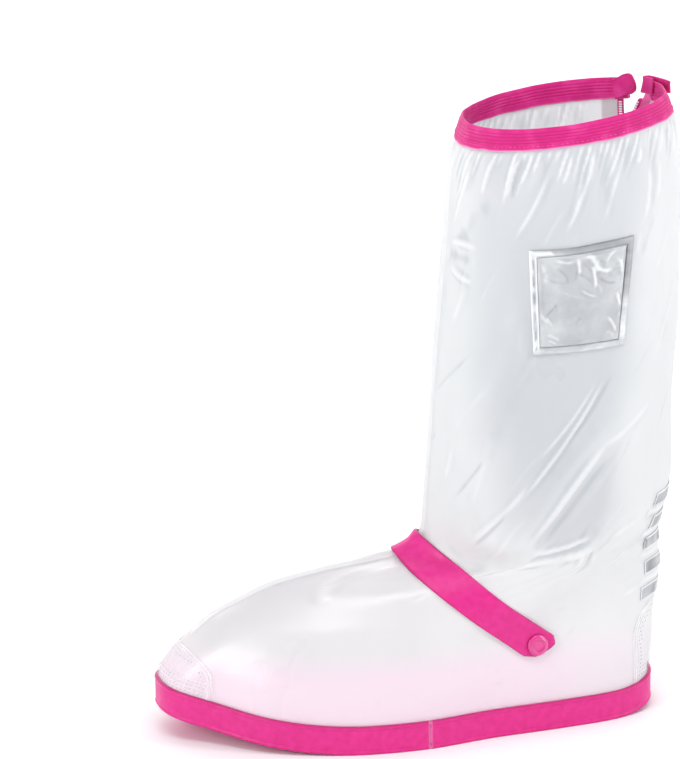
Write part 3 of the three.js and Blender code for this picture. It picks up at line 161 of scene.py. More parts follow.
# Creases of the window's pane, in shares of the window: start, end, depth, half width, bow
PANE_WRINKLES = [
    (0.43, 0.92, 0.46, 0.7, 0.6, 1.5, 0.5), (0.48, 0.97, 0.66, 0.72, 1.0, 2.6, 1.5),
    (0.58, 0.8, 0.82, 0.72, 0.8, 2.0, -1), (0.57, 0.82, 0.63, 0.56, 0.8, 1.3, 1),
    (0.7, 0.76, 0.9, 0.97, 0.5, 1.8, 2), (0.8, 0.88, 0.97, 0.46, 0.9, 1.9, 3),
    (0.86, 0.54, 0.96, 0.34, 0.7, 1.3, -1), (0.9, 0.34, 0.97, 0.18, 0.8, 1.5, 1),
    (0.1, 0.9, 0.14, 0.66, 0.4, 1.8, 1), (0.2, 0.93, 0.44, 0.87, 0.4, 1.6, -2),
    (0.02, 0.42, 0.18, 0.26, 0.4, 1.8, 1), (0.76, 0.32, 0.9, 0.12, 0.5, 1.4, 1),
    (0.2, 0.84, 0.36, 0.6, -0.4, 1.8, 3), (0.64, 0.7, 0.88, 0.6, -0.5, 1.6, -2),
    (0.1, 0.2, 0.3, 0.1, 0.3, 1.6, 1),
]


# Small mathematics

def smooth(t):
    t = np.clip(t, 0, 1)
    return t * t * (3 - 2 * t)


def bell(t):
    return np.exp(-t * t)


def curve_through(x, y):
    """Smooth curve through points that never swings past them."""
    rise = np.diff(y) / np.diff(x)
    slope = np.r_[rise[0], np.zeros(len(x) - 2), rise[-1]]
    for i in range(1, len(x) - 1):
        if rise[i - 1] * rise[i] > 0:
            slope[i] = 2 * rise[i - 1] * rise[i] / (rise[i - 1] + rise[i])

    def value(at):
        at = np.clip(at, x[0], x[-1])
        i = np.clip(np.searchsorted(x, at, side="right") - 1, 0, len(x) - 2)
        h = x[i + 1] - x[i]
        t = (at - x[i]) / h
        return (y[i] * (1 + 2 * t) * (1 - t) ** 2 + slope[i] * h * t * (1 - t) ** 2
                + y[i + 1] * t * t * (3 - 2 * t) + slope[i + 1] * h * t * t * (t - 1))
    return value


def resample(points, shares):
    """Points at shares of the length of a flat line, and its length."""
    lengths = np.r_[0, np.cumsum(np.hypot(*np.diff(points, axis=0).T))]
    at = np.clip(shares, 0, 1) * lengths[-1]
    return np.stack([np.interp(at, lengths, points[:, k]) for k in (0, 1)], -1), lengths[-1]


# Surface of the film on a fine grid

HALF_SOLE = SOLE_LENGTH / 2
LINE_STEPS = 160
SHARES = np.linspace(0, 1, 241)
GRID_STEP = 1.25
HEIGHTS = np.arange(-7.5, 396.1, GRID_STEP)


def level_curves():
    half = np.array([HALF_SOLE] * 3 + [SOLE_WIDTH / 2] * 2)
    foot = FOOT_LEVELS.copy()
    foot[:, 0] *= ANKLE_HEIGHT
    foot[:, 1:6] *= half
    shaft = SHAFT_LEVELS.copy()
    shaft[:, 0] = ANKLE_HEIGHT + shaft[:, 0] * (COVER_HEIGHT - ANKLE_HEIGHT)
    shaft[:, 1:4] = SHAFT_CENTRE_X + shaft[:, 1:4] * SHAFT_DEPTH / 2
    shaft[:, 4:6] *= SHAFT_WIDTH / 2
    levels = np.vstack([foot, shaft])
    return [curve_through(levels[:, 0], levels[:, k]) for k in range(1, 8)]


def sole_halves():
    """Half outlines of the sole from toe to heel, from -1 to 1 and 1 wide."""
    inside = SOLE_OUTLINE[1:-1]
    loop = np.vstack([
        [(-1, 0)], inside[:, [0, 1]], [(1, 0)], (inside[:, [0, 2]] * [1, -1])[::-1],
    ])
    count = len(loop)

    def point(share):
        at = share % 1 * count
        i = int(at)
        t = at - i
        p = [loop[(i + k) % count] for k in (-1, 0, 1, 2)]
        d = [max(np.sum((p[k + 1] - p[k]) ** 2) ** 0.25, 1e-4) for k in range(3)]
        start = ((p[1] - p[0]) / d[0] - (p[2] - p[0]) / (d[0] + d[1]) + (p[2] - p[1]) / d[1]) * d[1]
        end = ((p[2] - p[1]) / d[1] - (p[3] - p[1]) / (d[1] + d[2]) + (p[3] - p[2]) / d[2]) * d[1]
        square = -3 * p[1] + 3 * p[2] - 2 * start - end
        cube = 2 * p[1] - 2 * p[2] + start + end
        return p[1] + start * t + square * t * t + cube * t ** 3

    heel = (len(inside) + 1) / count
    halves = {}
    for side, first in ((OUTER, 0.0), (INNER, 1.0)):
        line = np.array([point(first + (heel - first) * i / LINE_STEPS) for i in range(LINE_STEPS + 1)])
        halves[side] = np.abs(line * [0, 1]) + line * [1, 0]
    return halves


def base_grid(side, curves, sole_half):
    """Points of the film's outer face without folds, row by row, and each row's length."""
    angle = np.linspace(0, np.pi, LINE_STEPS + 1)
    shares = np.linspace(0, 1, LINE_STEPS + 1)
    rows, lengths = [], []
    for height in HEIGHTS:
        front, back, widest, outer, inner, squareness, sole = [float(curve(height)) for curve in curves]
        width = outer if side == OUTER else inner
        run = np.abs(np.cos(angle)) ** (2 / squareness)
        end = np.where(np.arange(LINE_STEPS + 1) < LINE_STEPS / 2, front, back)
        bow = np.abs(np.sin(angle)) ** (2 / squareness)
        rounded = np.stack([widest + (end - widest) * run, width * bow], -1)
        flat_sole = sole_half * [(back - front) / 2, width] + [(front + back) / 2, 0]
        blended = resample(rounded, shares)[0] * (1 - sole) + resample(flat_sole, shares)[0] * sole
        flat, length = resample(blended, SHARES)
        x, y = flat.T
        toe = np.clip((-HALF_SOLE + TOE_SPRING_LENGTH - x) / TOE_SPRING_LENGTH, 0, 1)
        heel = np.clip((x - HALF_SOLE + HEEL_LIFT_LENGTH) / HEEL_LIFT_LENGTH, 0, 1)
        lift = TOE_SPRING * toe ** 2 + HEEL_LIFT * heel ** 2
        lift *= 1 - smooth((height - RAND_HEIGHT) / (ANKLE_HEIGHT - RAND_HEIGHT))
        tilt = smooth((height - ANKLE_HEIGHT) / (COVER_HEIGHT - ANKLE_HEIGHT))
        drop = tilt * (RIM_DROP * (back - x) / (back - front) + RIM_LEAN * side * y / (SHAFT_WIDTH / 2))
        swing = TOE_SWING * np.clip(-x / HALF_SOLE, 0, 1) ** 2
        rows.append(np.stack([x, side * y + swing, height + lift - drop], -1))
        lengths.append(length)
    return np.array(rows), np.array(lengths)


def normal_grid(side, base):
    along = np.gradient(base, axis=1)
    up = np.gradient(base, axis=0)
    normal = np.cross(along, up) * -side
    for column, sign in ((0, -1), (-1, 1)):
        normal[:, column] = np.stack(
            [sign * up[:, column, 2], 0 * up[:, column, 0], -sign * up[:, column, 0]], -1)
    return normal / np.linalg.norm(normal, axis=-1, keepdims=True)


zip_x = curve_through(ZIP_ROUTE[:, 0] * COVER_HEIGHT, SHAFT_CENTRE_X + ZIP_ROUTE[:, 1] * SHAFT_DEPTH / 2)
BASE, ROW_LENGTH, FIELD = {}, {}, {}


def fill_grids():
    """FIELD holds the base point, the direction out, and room for the rise and bend of the folds."""
    curves, halves = level_curves(), sole_halves()
    for side in (OUTER, INNER):
        base, ROW_LENGTH[side] = base_grid(side, curves, halves[side])
        folds = np.zeros(base.shape[:2] + (2,))
        BASE[side] = base
        FIELD[side] = np.concatenate([base, normal_grid(side, base), folds], -1)


fill_grids()


def sample(side, share, height):
    """Base point, direction out, rise and bend of the film, read from the grid."""
    share, height = np.broadcast_arrays(np.asarray(share, float), np.asarray(height, float))
    u = np.clip(share, 0, 1) * (len(SHARES) - 1)
    v = np.clip((height - HEIGHTS[0]) / GRID_STEP, 0, len(HEIGHTS) - 1)
    j = np.minimum(u.astype(int), len(SHARES) - 2)
    i = np.minimum(v.astype(int), len(HEIGHTS) - 2)
    s, t = (u - j)[..., None], (v - i)[..., None]
    field = FIELD[side]
    return ((field[i, j] * (1 - s) + field[i, j + 1] * s) * (1 - t)
            + (field[i + 1, j] * (1 - s) + field[i + 1, j + 1] * s) * t)


def skin(side, share, height, offset=0.0):
    """Points at an offset from the film's outer face, folds included."""
    field = sample(side, share, height)
    normal = field[..., 3:6] / np.linalg.norm(field[..., 3:6], axis=-1, keepdims=True)
    return field[..., :3] + normal * (field[..., 6] + np.asarray(offset, float))[..., None]


def skin_path(sides, shares, height, offset):
    """The same for stations that pass from one side to the other."""
    sides, shares, height, offset = np.broadcast_arrays(sides, shares, height, offset)
    outer, inner = (skin(side, shares, height, offset) for side in (OUTER, INNER))
    return np.where((sides == OUTER)[..., None], outer, inner)


def side_length(side, height):
    return np.interp(height, HEIGHTS, ROW_LENGTH[side])


def around_at_x(side, height, x):
    """Share of the way round at which the film passes x at one height."""
    return np.interp(x, sample(side, SHARES, np.full(len(SHARES), height))[:, 0], SHARES)


ZIP_MIDDLE = np.array([around_at_x(INNER, height, zip_x(height)) for height in HEIGHTS])


def zip_around(height, distance):
    step = 2
    lean = (zip_x(height + step) - zip_x(height - step)) / (2 * step)
    return np.interp(height, HEIGHTS, ZIP_MIDDLE) + distance * np.hypot(1, lean) / side_length(INNER, height)


def notch_half(height):
    return NOTCH_WIDTH / 2 * np.clip((height - ZIP_OPEN_HEIGHT) / (COVER_HEIGHT - ZIP_OPEN_HEIGHT), 0, 1)


def zip_skin(height, distance, offset):
    """Point at a distance round from the zip, also past the back seam."""
    around = zip_around(height, distance)
    past = (around - 1) * side_length(INNER, height) / side_length(OUTER, height)
    around, past, offset = np.broadcast_arrays(around, past, offset)
    height = np.broadcast_to(height, around.shape)
    return np.where((around <= 1)[..., None], skin(INNER, around, height, offset),
                    skin(OUTER, 1 - past, height, offset))


# Instep strap: lines on the film in planes parallel to the one through its snaps and the ridge

def strap_plane():
    snaps = {}
    for side, (x, height) in STRAP_SNAP.items():
        snaps[side] = sample(side, around_at_x(side, height, x), height)[:3]
    ridge = sample(OUTER, 0.0, STRAP_RIDGE_HEIGHT)[:3]
    normal = np.cross(snaps[OUTER] - ridge, snaps[INNER] - ridge)
    normal *= np.sign(normal[0]) / np.linalg.norm(normal)
    return normal, normal @ ridge


STRAP_NORMAL, STRAP_LEVEL = strap_plane()


def strap_line(side, offset):
    """Share, height and length from the ridge of places on the film in one plane."""
    ridge = np.linspace(ANKLE_HEIGHT * 0.4, ANKLE_HEIGHT * 1.3, 600)
    past = sample(OUTER, np.zeros(600), ridge)[:, :3] @ STRAP_NORMAL - STRAP_LEVEL - offset
    ridge_height = np.interp(0, past, ridge)
    heights = ridge_height + (RAND_HEIGHT - ridge_height) * np.linspace(0, 1, 120) ** 2
    shares = np.zeros(120)
    for i, height in enumerate(heights[1:], 1):
        row = sample(side, SHARES, np.full(len(SHARES), height))[:, :3] @ STRAP_NORMAL - STRAP_LEVEL - offset
        first = int(np.argmax(row > 0))
        a, b = row[first - 1], row[first]
        shares[i] = SHARES[first - 1] + (SHARES[first] - SHARES[first - 1]) * (-a / (b - a))
    points = sample(side, shares, heights)[:, :3]
    lengths = np.r_[0, np.cumsum(np.linalg.norm(np.diff(points, axis=0), axis=1))]
    return shares, heights, lengths


# Folds, gathers and wrinkles of the film

class Noise:
    """Smooth random field with a given cell, repeating far outside the cover."""

    COUNT = 97
    ORIGIN = 31.7, 23.3

    def __init__(self, cell_x, cell_z):
        self.cells = cell_x, cell_z
        self.values = random.uniform(-1, 1, (self.COUNT, self.COUNT))

    def row(self, i, j, s):
        a, b = (self.values[k % self.COUNT, j % self.COUNT] for k in (i, i + 1))
        return a * (1 - s) + b * s

    def __call__(self, x, z):
        u, v = x / self.cells[0] + self.ORIGIN[0], z / self.cells[1] + self.ORIGIN[1]
        i, j = np.floor(u).astype(int), np.floor(v).astype(int)
        s, t = smooth(u - i), smooth(v - j)
        return self.row(i, j, s) * (1 - t) + self.row(i, j + 1, s) * t


GATHER_WANDER = Noise(16, 60)


def line_share(x, z, start, end):
    """Share of the way along a line and signed distance from it."""
    run = end[0] - start[0], end[1] - start[1]
    length = math.hypot(*run)
    dx, dz = x - start[0], z - start[1]
    return (dx * run[0] + dz * run[1]) / length ** 2, (dx * run[1] - dz * run[0]) / length


def end_fade(share, reach):
    """One along the way, falling to nothing at both of its ends."""
    return smooth(share / reach) * smooth((1 - share) / reach)


def wrinkle(x, z, start, end, depth, width, bow):
    share, across = line_share(x, z, start, end)
    across = (across + bow * 4 * share * (1 - share)) / width
    return depth * np.exp(1 - np.sqrt(across * across * 2.2 + 1)) * end_fade(share, 0.35)


def listed_wrinkles(x, z, table, size):
    """Wrinkles of a table, whose ends are in shares of the size."""
    rise = np.zeros(x.shape)
    for a0, h0, a1, h1, depth, width, bow in table:
        start, end = (a0 * size[0], h0 * size[1]), (a1 * size[0], h1 * size[1])
        rise += wrinkle(x, z, start, end, depth, width, bow)
    return rise


def stray_wrinkles(x, z, count, size, ranges, lean, bow):
    """Wrinkles at random places. The lean and the bow are drawn by functions."""
    rise = np.zeros(x.shape)
    for _ in range(count):
        across, height, length = (random.uniform(*limits) for limits in ranges[:3])
        start, angle = (across * size[0], height * size[1]), lean()
        end = start[0] + length * math.sin(angle), start[1] - length * math.cos(angle)
        depth = random.uniform(*ranges[3]) * random.choice((-1, 1))
        rise += wrinkle(x, z, start, end, depth, random.uniform(*ranges[4]), bow())
    return rise


def band_creases(x, height):
    """Short creases that run down and forward from the band."""
    rise = np.zeros(x.shape)
    at = 3.0
    while at < SHAFT_GIRTH - 3:
        length, lean = random.uniform(9, 34), random.uniform(0.1, 0.45)
        start = at + 2, BAND_BOTTOM + 6
        end = at - length * math.sin(lean), BAND_BOTTOM - length * math.cos(lean)
        share, across = line_share(x, height, start, end)
        fade = np.clip(1 - share, 0, 1) ** 0.8 * smooth((BAND_BOTTOM - height) / 4) * (share > 0)
        rise += random.uniform(0.4, 1.0) * bell(across / random.uniform(0.9, 1.6)) * fade
        at += random.uniform(3.8, 8.5)
    return rise


def main_folds(side, around, height):
    x = around * SHAFT_GIRTH
    rise = np.zeros(around.shape)
    for fold_side, a0, h0, a1, h1, depth, width in MAIN_FOLDS:
        if fold_side == side:
            start, end = (a0 * SHAFT_GIRTH, h0 * COVER_HEIGHT), (a1 * SHAFT_GIRTH, h1 * COVER_HEIGHT)
            share, across = line_share(x, height, start, end)
            rise += depth * FOLD_DEPTH * bell(across / (width * SHAFT_DEPTH)) * end_fade(share, 0.3)
    below = (BAND_BOTTOM - height) / GATHER_LENGTH
    wander = 1.6 * GATHER_WANDER(x, height + 30 * side)
    gather = np.cos(np.pi * GATHER_COLUMNS * around + wander) * bell(below * 1.3) * smooth(4 * below)
    return rise + GATHER_DEPTH * 0.5 * gather


def fine_wrinkles(side, around, height):
    x = around * SHAFT_GIRTH
    rise = listed_wrinkles(x, height, WRINKLES if side == OUTER else [], (SHAFT_GIRTH, COVER_HEIGHT))
    rise += stray_wrinkles(x, height, SHAFT_STRAY_COUNT[side], (SHAFT_GIRTH, 1), SHAFT_STRAYS,
                           lambda: random.normal(-0.55, 0.14), lambda: random.uniform(-4, 4))
    rise += stray_wrinkles(x, height, FOOT_STRAY_COUNT, (SHAFT_GIRTH, 1), FOOT_STRAYS,
                           lambda: random.uniform(-2.2, 0.2), lambda: 1)
    rise += band_creases(x, height)
    broad, middle, fine = Noise(34, 60), Noise(15, 40), Noise(7, 16)
    tilt = x + 0.55 * height
    shaft = smooth((height - 85) / 40)
    rise += (0.9 * broad(tilt, height) + 0.45 * middle(tilt, height)) * (0.4 + 0.6 * shaft)
    return rise + 0.05 * fine(tilt, height)


def strap_zone(side, height, margin, reach):
    """One under the instep strap, falling to nothing beside it."""
    across = np.abs(BASE[side] @ STRAP_NORMAL - STRAP_LEVEL)
    return smooth((STRAP_WIDTH / 2 + margin - across) / reach) * (height < ANKLE_HEIGHT + 20)


def inside(value, low, high, fade):
    """One between two limits, falling to nothing outside them."""
    return smooth((value - low + fade) / fade) * smooth((high + fade - value) / fade)


def calm(side, around, height):
    """How far the detail shows: less under stiff pieces that lie on the film."""
    length = np.interp(height, HEIGHTS, ROW_LENGTH[side])
    distance, behind = around * length, (1 - around) * length
    toe = smooth((TOE_CAP_REACH + 5 - distance) / 8) * smooth((TOE_CAP_TOP + 6 - height) / 8)
    heel = smooth((HEEL_COUNTER_REACH + 4 - behind) / 8) * smooth((HEEL_COUNTER_TOP + 2 - height) / 6)
    bars = inside(height, STRIPE_BOTTOM, STRIPES_TOP, 8) * smooth((STRIPE_SPANS[0] / 2 + 8 - behind) / 8)
    free = (1 - 0.9 * strap_zone(side, height, 6, 6)) * (1 - 0.8 * toe) * (1 - 0.75 * heel)
    free = free * (1 - 0.7 * bars)
    if side == OUTER:
        window = (inside(BASE[side][..., 0], WINDOW_LEFT_X, WINDOW_LEFT_X + WINDOW_WIDTH, 6)
                  * inside(height, WINDOW_BOTTOM, WINDOW_BOTTOM + WINDOW_HEIGHT, 6))
        free *= 1 - 0.6 * window
    return free * smooth((height - RAND_HEIGHT - 1) / 8) * end_fade(around, 1 / 30)


def bulges(side, around, height):
    """The film stands out a little between the stripes."""
    behind = (1 - around) * np.interp(height, HEIGHTS, ROW_LENGTH[side])
    rise = np.zeros(around.shape)
    for index, span in enumerate(STRIPE_SPANS[1:], 1):
        middle = STRIPE_BOTTOM + index * STRIPE_PITCH - (STRIPE_PITCH - STRIPE_HEIGHT) / 2
        rise += 0.8 * bell((height - middle) / 1.8) * smooth((span / 2 + 4 - behind) / 4)
    return rise * smooth((1 - around) * 30)


def zip_calm(side, height):
    """Nothing under the tapes, so that they lie on smooth film."""
    if side == OUTER:
        return 1.0
    away = np.abs(BASE[side][..., 0] - zip_x(height))
    return np.where(height < ZIP_BOTTOM, 1.0, smooth((away - TAPE_WIDTH) / TAPE_WIDTH))


def bend_of(rise, spacing, step=GRID_STEP):
    """How sharply the film is bent, positive on the crests of its folds."""
    def beside(values, axis):
        return np.roll(values, 1, axis) + np.roll(values, -1, axis)
    bend = -((beside(rise, 1) - 2 * rise) / spacing ** 2 + (beside(rise, 0) - 2 * rise) / step ** 2)
    for axis in (0, 1):
        bend = (beside(bend, axis) + 2 * bend) / 4
    bend[:, :2] = bend[:, -2:] = bend[:2] = bend[-2:] = 0
    return bend


def fold_film():
    around, height = np.meshgrid(SHARES, HEIGHTS)
    for side in (OUTER, INNER):
        rise = main_folds(side, around, height) * end_fade(around, 1 / 12)
        rise *= 1 - 0.7 * strap_zone(side, height, 14, 14)
        rise += fine_wrinkles(side, around, height) * calm(side, around, height)
        rise = (rise + bulges(side, around, height)) * zip_calm(side, height)
        FIELD[side][..., 6] = rise
        FIELD[side][..., 7] = bend_of(rise, ROW_LENGTH[side][:, None] / (len(SHARES) - 1))


fold_film()


# Meshes

def unit(vectors):
    return vectors / np.linalg.norm(vectors, axis=-1, keepdims=True)


def run_along(points):
    """Length of the way from the first point to each point."""
    return np.r_[0, np.cumsum(np.linalg.norm(np.diff(points, axis=0), axis=-1))]


def pairs(a, b):
    return np.stack(np.broadcast_arrays(a, b), -1)


def grid_faces(rows, columns, ring=False, looped=False):
    i = np.arange(rows if looped else rows - 1)[:, None]
    j = np.arange(columns if ring else columns - 1)[None, :]
    after_i, after_j = (i + 1) % rows, (j + 1) % columns
    corners = (i, j), (i, after_j), (after_i, after_j), (after_i, j)
    return np.stack([row * columns + column for row, column in corners], -1).reshape(-1, 4)


def add_mesh(name, points, faces, finish, node=None, uv=None, marks=None):
    """Piece from points in millimetres, in place of a node. marks: values at its points, by name."""
    material, slot = finish
    mesh = bpy.data.meshes.new(name)
    mesh.from_pydata((np.reshape(points, (-1, 3)) * 0.001).tolist(), [], [list(face) for face in faces])
    mesh.materials.append(material)
    mesh.polygons.foreach_set("use_smooth", np.ones(len(mesh.polygons), bool))
    if uv is not None:
        corners = np.zeros(len(mesh.loops), np.int32)
        mesh.loops.foreach_get("vertex_index", corners)
        layer = mesh.uv_layers.new(name="place")
        layer.data.foreach_set("uv", np.reshape(uv, (-1, 2))[corners].ravel())
    for key, values in (marks or {}).items():
        mark = mesh.attributes.new(key, "FLOAT", "POINT")
        mark.data.foreach_set("value", np.asarray(values, np.float32).ravel())
    mesh.validate()
    piece = bpy.data.objects.new(name, mesh)
    bpy.context.scene.collection.objects.link(piece)
    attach(piece, "cover")
    if node:
        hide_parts(node)
    return piece


def facing_out(points, faces):
    """The faces of a closed mesh, turned so that they face out."""
    volume = 0.0
    for size in (3, 4):
        corners = points[np.array([face for face in faces if len(face) == size], int).reshape(-1, size)]
        for k in range(1, size - 1):
            volume += np.sum(corners[:, 0] * np.cross(corners[:, k], corners[:, k + 1]))
    return faces if volume > 0 else [face[::-1] for face in faces]


def tube(name, grid, finish, node, uv=None, marks=None, looped=False):
    """Closed solid swept along a row of closed sections, grid[station][place round the section].

    marks: values that spread over the grid. looped: the last section joins the first one.
    """
    rows, columns = grid.shape[:2]
    points = grid.reshape(-1, 3)
    faces = [list(face) for face in grid_faces(rows, columns, ring=True, looped=looped)]
    if not looped:
        points = np.vstack([points, grid[0].mean(0), grid[-1].mean(0)])
        last, count = (rows - 1) * columns, rows * columns
        for j in range(columns):
            after = (j + 1) % columns
            faces += [[count, after, j], [count + 1, last + j, last + after]]
        if uv is not None:
            uv = np.vstack([uv.reshape(-1, 2), uv[0].mean(0), uv[-1].mean(0)])
    spread = {key: np.broadcast_to(value, (rows, columns)) for key, value in (marks or {}).items()}
    if not looped:
        spread = {key: np.r_[value.ravel(), value[0].mean(), value[-1].mean()]
                  for key, value in spread.items()}
    return add_mesh(name, points, facing_out(points, faces), finish, node, uv, spread)


def wall(name, front, back, finish, node, uv, marks=None):
    """Closed solid between two grids of points, its edges joined."""
    rows, columns = front.shape[:2]
    count = rows * columns
    sheet = grid_faces(rows, columns)
    place = np.arange(count).reshape(rows, columns)
    rim = np.r_[place[:, 0], place[-1, 1:], place[-2::-1, -1], place[0, -2:0:-1]]
    after = np.roll(rim, -1)
    sides = np.stack([rim, after, after + count, rim + count], -1)
    faces = np.vstack([sheet, sheet[:, ::-1] + count, sides])
    points = np.vstack([front.reshape(-1, 3), back.reshape(-1, 3)])
    marks = {key: np.tile(value.ravel(), 2) for key, value in (marks or {}).items()}
    return add_mesh(name, points, facing_out(points, faces), finish, node, np.stack([uv, uv]), marks)


def strip_section(half, low, high, radius, count):
    """Rounded section of a flat strip: across and out, and which places are on its top."""
    turn = np.linspace(0, np.pi / 2, 4)
    middle = np.linspace(1, -1, count)[1:-1]
    under = np.linspace(-1, 1, count // 2 + 1)
    inset = np.r_[np.ones(4), middle, -np.ones(4), under]
    bulge = np.r_[np.cos(turn), middle * 0, -np.sin(turn), under]
    drop = np.r_[1 - np.sin(turn), middle * 0, 1 - np.cos(turn), under * 0]
    top = np.r_[np.ones(len(middle) + 8), under * 0]
    across = inset * (half - radius) + bulge * radius
    return across, np.where(top > 0, high - drop * radius, low), top * (drop == 0)


def bevel(piece, width):
    modifier = piece.modifiers.new("rounded edges", "BEVEL")
    modifier.width = width * 0.001
    modifier.segments = 3
    modifier.limit_method = "ANGLE"
    modifier.angle_limit = 0.6


def stitches(name, starts, ends, outs, radius, finish, node=None):
    """Short threads from place to place, each a small round bar with tapered ends."""
    along = np.array([0.0, 0.15, 0.5, 0.85, 1.0])
    thick = np.array([0.35, 0.85, 1.0, 0.85, 0.35])
    angle = np.linspace(0, 2 * np.pi, 6, endpoint=False)
    run = ends - starts
    outs = unit(outs)
    aside = unit(np.cross(run, outs))
    centre = starts[:, None] + run[:, None] * along[:, None]
    ring = aside[:, None, None] * np.cos(angle)[:, None] + outs[:, None, None] * np.sin(angle)[:, None]
    points = centre[:, :, None] + ring * (radius * thick)[:, None, None]
    one = [list(face) for face in grid_faces(5, 6, ring=True)]
    one += [list(range(5, -1, -1)), list(range(24, 30))]
    faces = [[index + 30 * k for index in face] for k in range(len(starts)) for face in one]
    add_mesh(name, points, faces, finish, node)


# Materials

def with_alpha(colour):
    return colour if isinstance(colour, bpy.types.NodeSocket) else (*colour, 1)


class Graph:
    """Node material. Values given to a node are set on its inputs, and outputs given to it are linked."""

    def __init__(self, name, viewport):
        self.material = bpy.data.materials.new(name)
        self.material.use_nodes = True
        self.material.diffuse_color = (*viewport, 1)
        self.tree = self.material.node_tree
        self.tree.nodes.clear()

    def node(self, kind, inputs=None, **settings):
        node = self.tree.nodes.new("ShaderNode" + kind)
        for key, value in settings.items():
            setattr(node, key, value)
        for key, value in (inputs or {}).items():
            if isinstance(value, bpy.types.NodeSocket):
                self.tree.links.new(value, node.inputs[key])
            else:
                node.inputs[key].default_value = value
        return node

    def place(self):
        return self.node("TexCoord").outputs["Object"]

    def noise(self, scale, detail=3.0, stretch=None):
        vector = self.place()
        if stretch:
            vector = self.node("Mapping", {"Vector": vector, "Scale": stretch}).outputs["Vector"]
        return self.node("TexNoise", {"Vector": vector, "Scale": scale, "Detail": detail}).outputs["Fac"]

    def ramp(self, factor, *stops):
        node = self.node("ValToRGB", {"Fac": factor})
        elements = node.color_ramp.elements
        for k, (position, colour) in enumerate(stops):
            element = elements[k] if k < 2 else elements.new(position)
            element.position = position
            element.color = (*colour, 1) if isinstance(colour, tuple) else (colour, colour, colour, 1)
        return node.outputs["Color"]

    def maths(self, operation, a, b):
        return self.node("Math", {0: a, 1: b}, operation=operation).outputs["Value"]

    def mark(self, name):
        return self.node("Attribute", attribute_name=name).outputs["Fac"]

    def blend(self, factor, a, b):
        colours = {"Factor": factor, 6: with_alpha(a), 7: with_alpha(b)}
        return self.node("Mix", colours, data_type="RGBA").outputs[2]

    def bump(self, height, distance, strength):
        inputs = {"Height": height, "Distance": distance, "Strength": strength}
        return self.node("Bump", inputs).outputs["Normal"]

    def finish(self, shader):
        self.node("OutputMaterial", {"Surface": shader})
        return self.material

    def surface(self, **inputs):
        """The finished material, with one principled shader."""
        named = {key.replace("_", " "): value for key, value in inputs.items()}
        return self.finish(self.node("BsdfPrincipled", named).outputs[0])


PINK = 0.7, 0.022, 0.235
PINK_DEEP = 0.5, 0.012, 0.15
PINK_LIGHT = 0.9, 0.1, 0.4
PINK_PALE = 0.95, 0.4, 0.66


def film_material():
    """Milky film: painted shade over the middle of the shaft and along the top of the foot, whiter at its
    edges, whitening of creased film with painted highlight on the crests of folds, painted shade in their
    hollows, and a painted pink glow of light bounced from the sole, low over the sole.
    """
    g = Graph("milky film", (0.85, 0.88, 0.9))
    place = g.node("SeparateXYZ", {"Vector": g.place()})
    low = g.ramp(g.maths("DIVIDE", place.outputs["Z"], 0.1), (0.44, 1.0), (0.6, 0.0))
    front = g.ramp(g.maths("ADD", place.outputs["X"], 0.5), (0.56, 1.0), (0.66, 0.0))
    foot = g.ramp(g.maths("DIVIDE", place.outputs["Z"], 0.2), (0.35, 1.0), (0.7, 0.0))
    cloud = g.noise(14.0, stretch=(1.0, 1.0, 0.45))
    colour = g.blend(g.ramp(cloud, (0.3, 0.0), (0.75, 0.8)), (0.77, 0.785, 0.788), (0.895, 0.91, 0.908))
    # free: painted shade over the middle of the shaft and along the top of the foot, mottled by the cloud
    free = g.maths("MULTIPLY", g.mark("painted_shade"), g.ramp(cloud, (0.25, 0.95), (0.8, 0.75)))
    layers = (
        # painted shade over the middle of the shaft, and a whiter foot
        (free, (0.63, 0.65, 0.672)), (g.maths("MULTIPLY", foot, 0.35), (0.96, 0.98, 0.965)),
        # painted pink glow of light bounced from the sole, low and towards the front; pink where the zip's
        # tapes lie
        (g.maths("MULTIPLY", low, front), (0.985, 0.85, 0.93)), (g.mark("tape"), PINK_LIGHT),
        # whitening of creased film with painted highlight on the crests; painted shade in the hollows of
        # folds
        (g.maths("MULTIPLY", g.mark("crest_whitening_and_highlight"), 0.55), (0.97, 0.975, 0.98)),
        (g.maths("MULTIPLY", g.mark("hollow_shade"), 0.5), (0.5, 0.54, 0.57)),
    )
    for share, tint in layers:
        colour = g.blend(share, colour, tint)
    ripple = g.bump(g.noise(110.0, stretch=(1.0, 1.0, 0.5)), 0.0006, 0.3)
    principled = g.node("BsdfPrincipled", {
        "Base Color": colour, "Roughness": g.ramp(cloud, (0.3, 0.26), (0.7, 0.4)), "IOR": 1.5,
        "Coat Weight": 0.6, "Coat Roughness": 0.27, "Sheen Weight": 0.5, "Sheen Roughness": 0.35,
        "Normal": ripple,
    })
    through = g.node("BsdfTranslucent", {"Color": colour, "Normal": ripple})
    mixed = g.node("MixShader", {"Fac": 0.28, 1: principled.outputs[0], 2: through.outputs[0]})
    return g.finish(mixed.outputs[0])


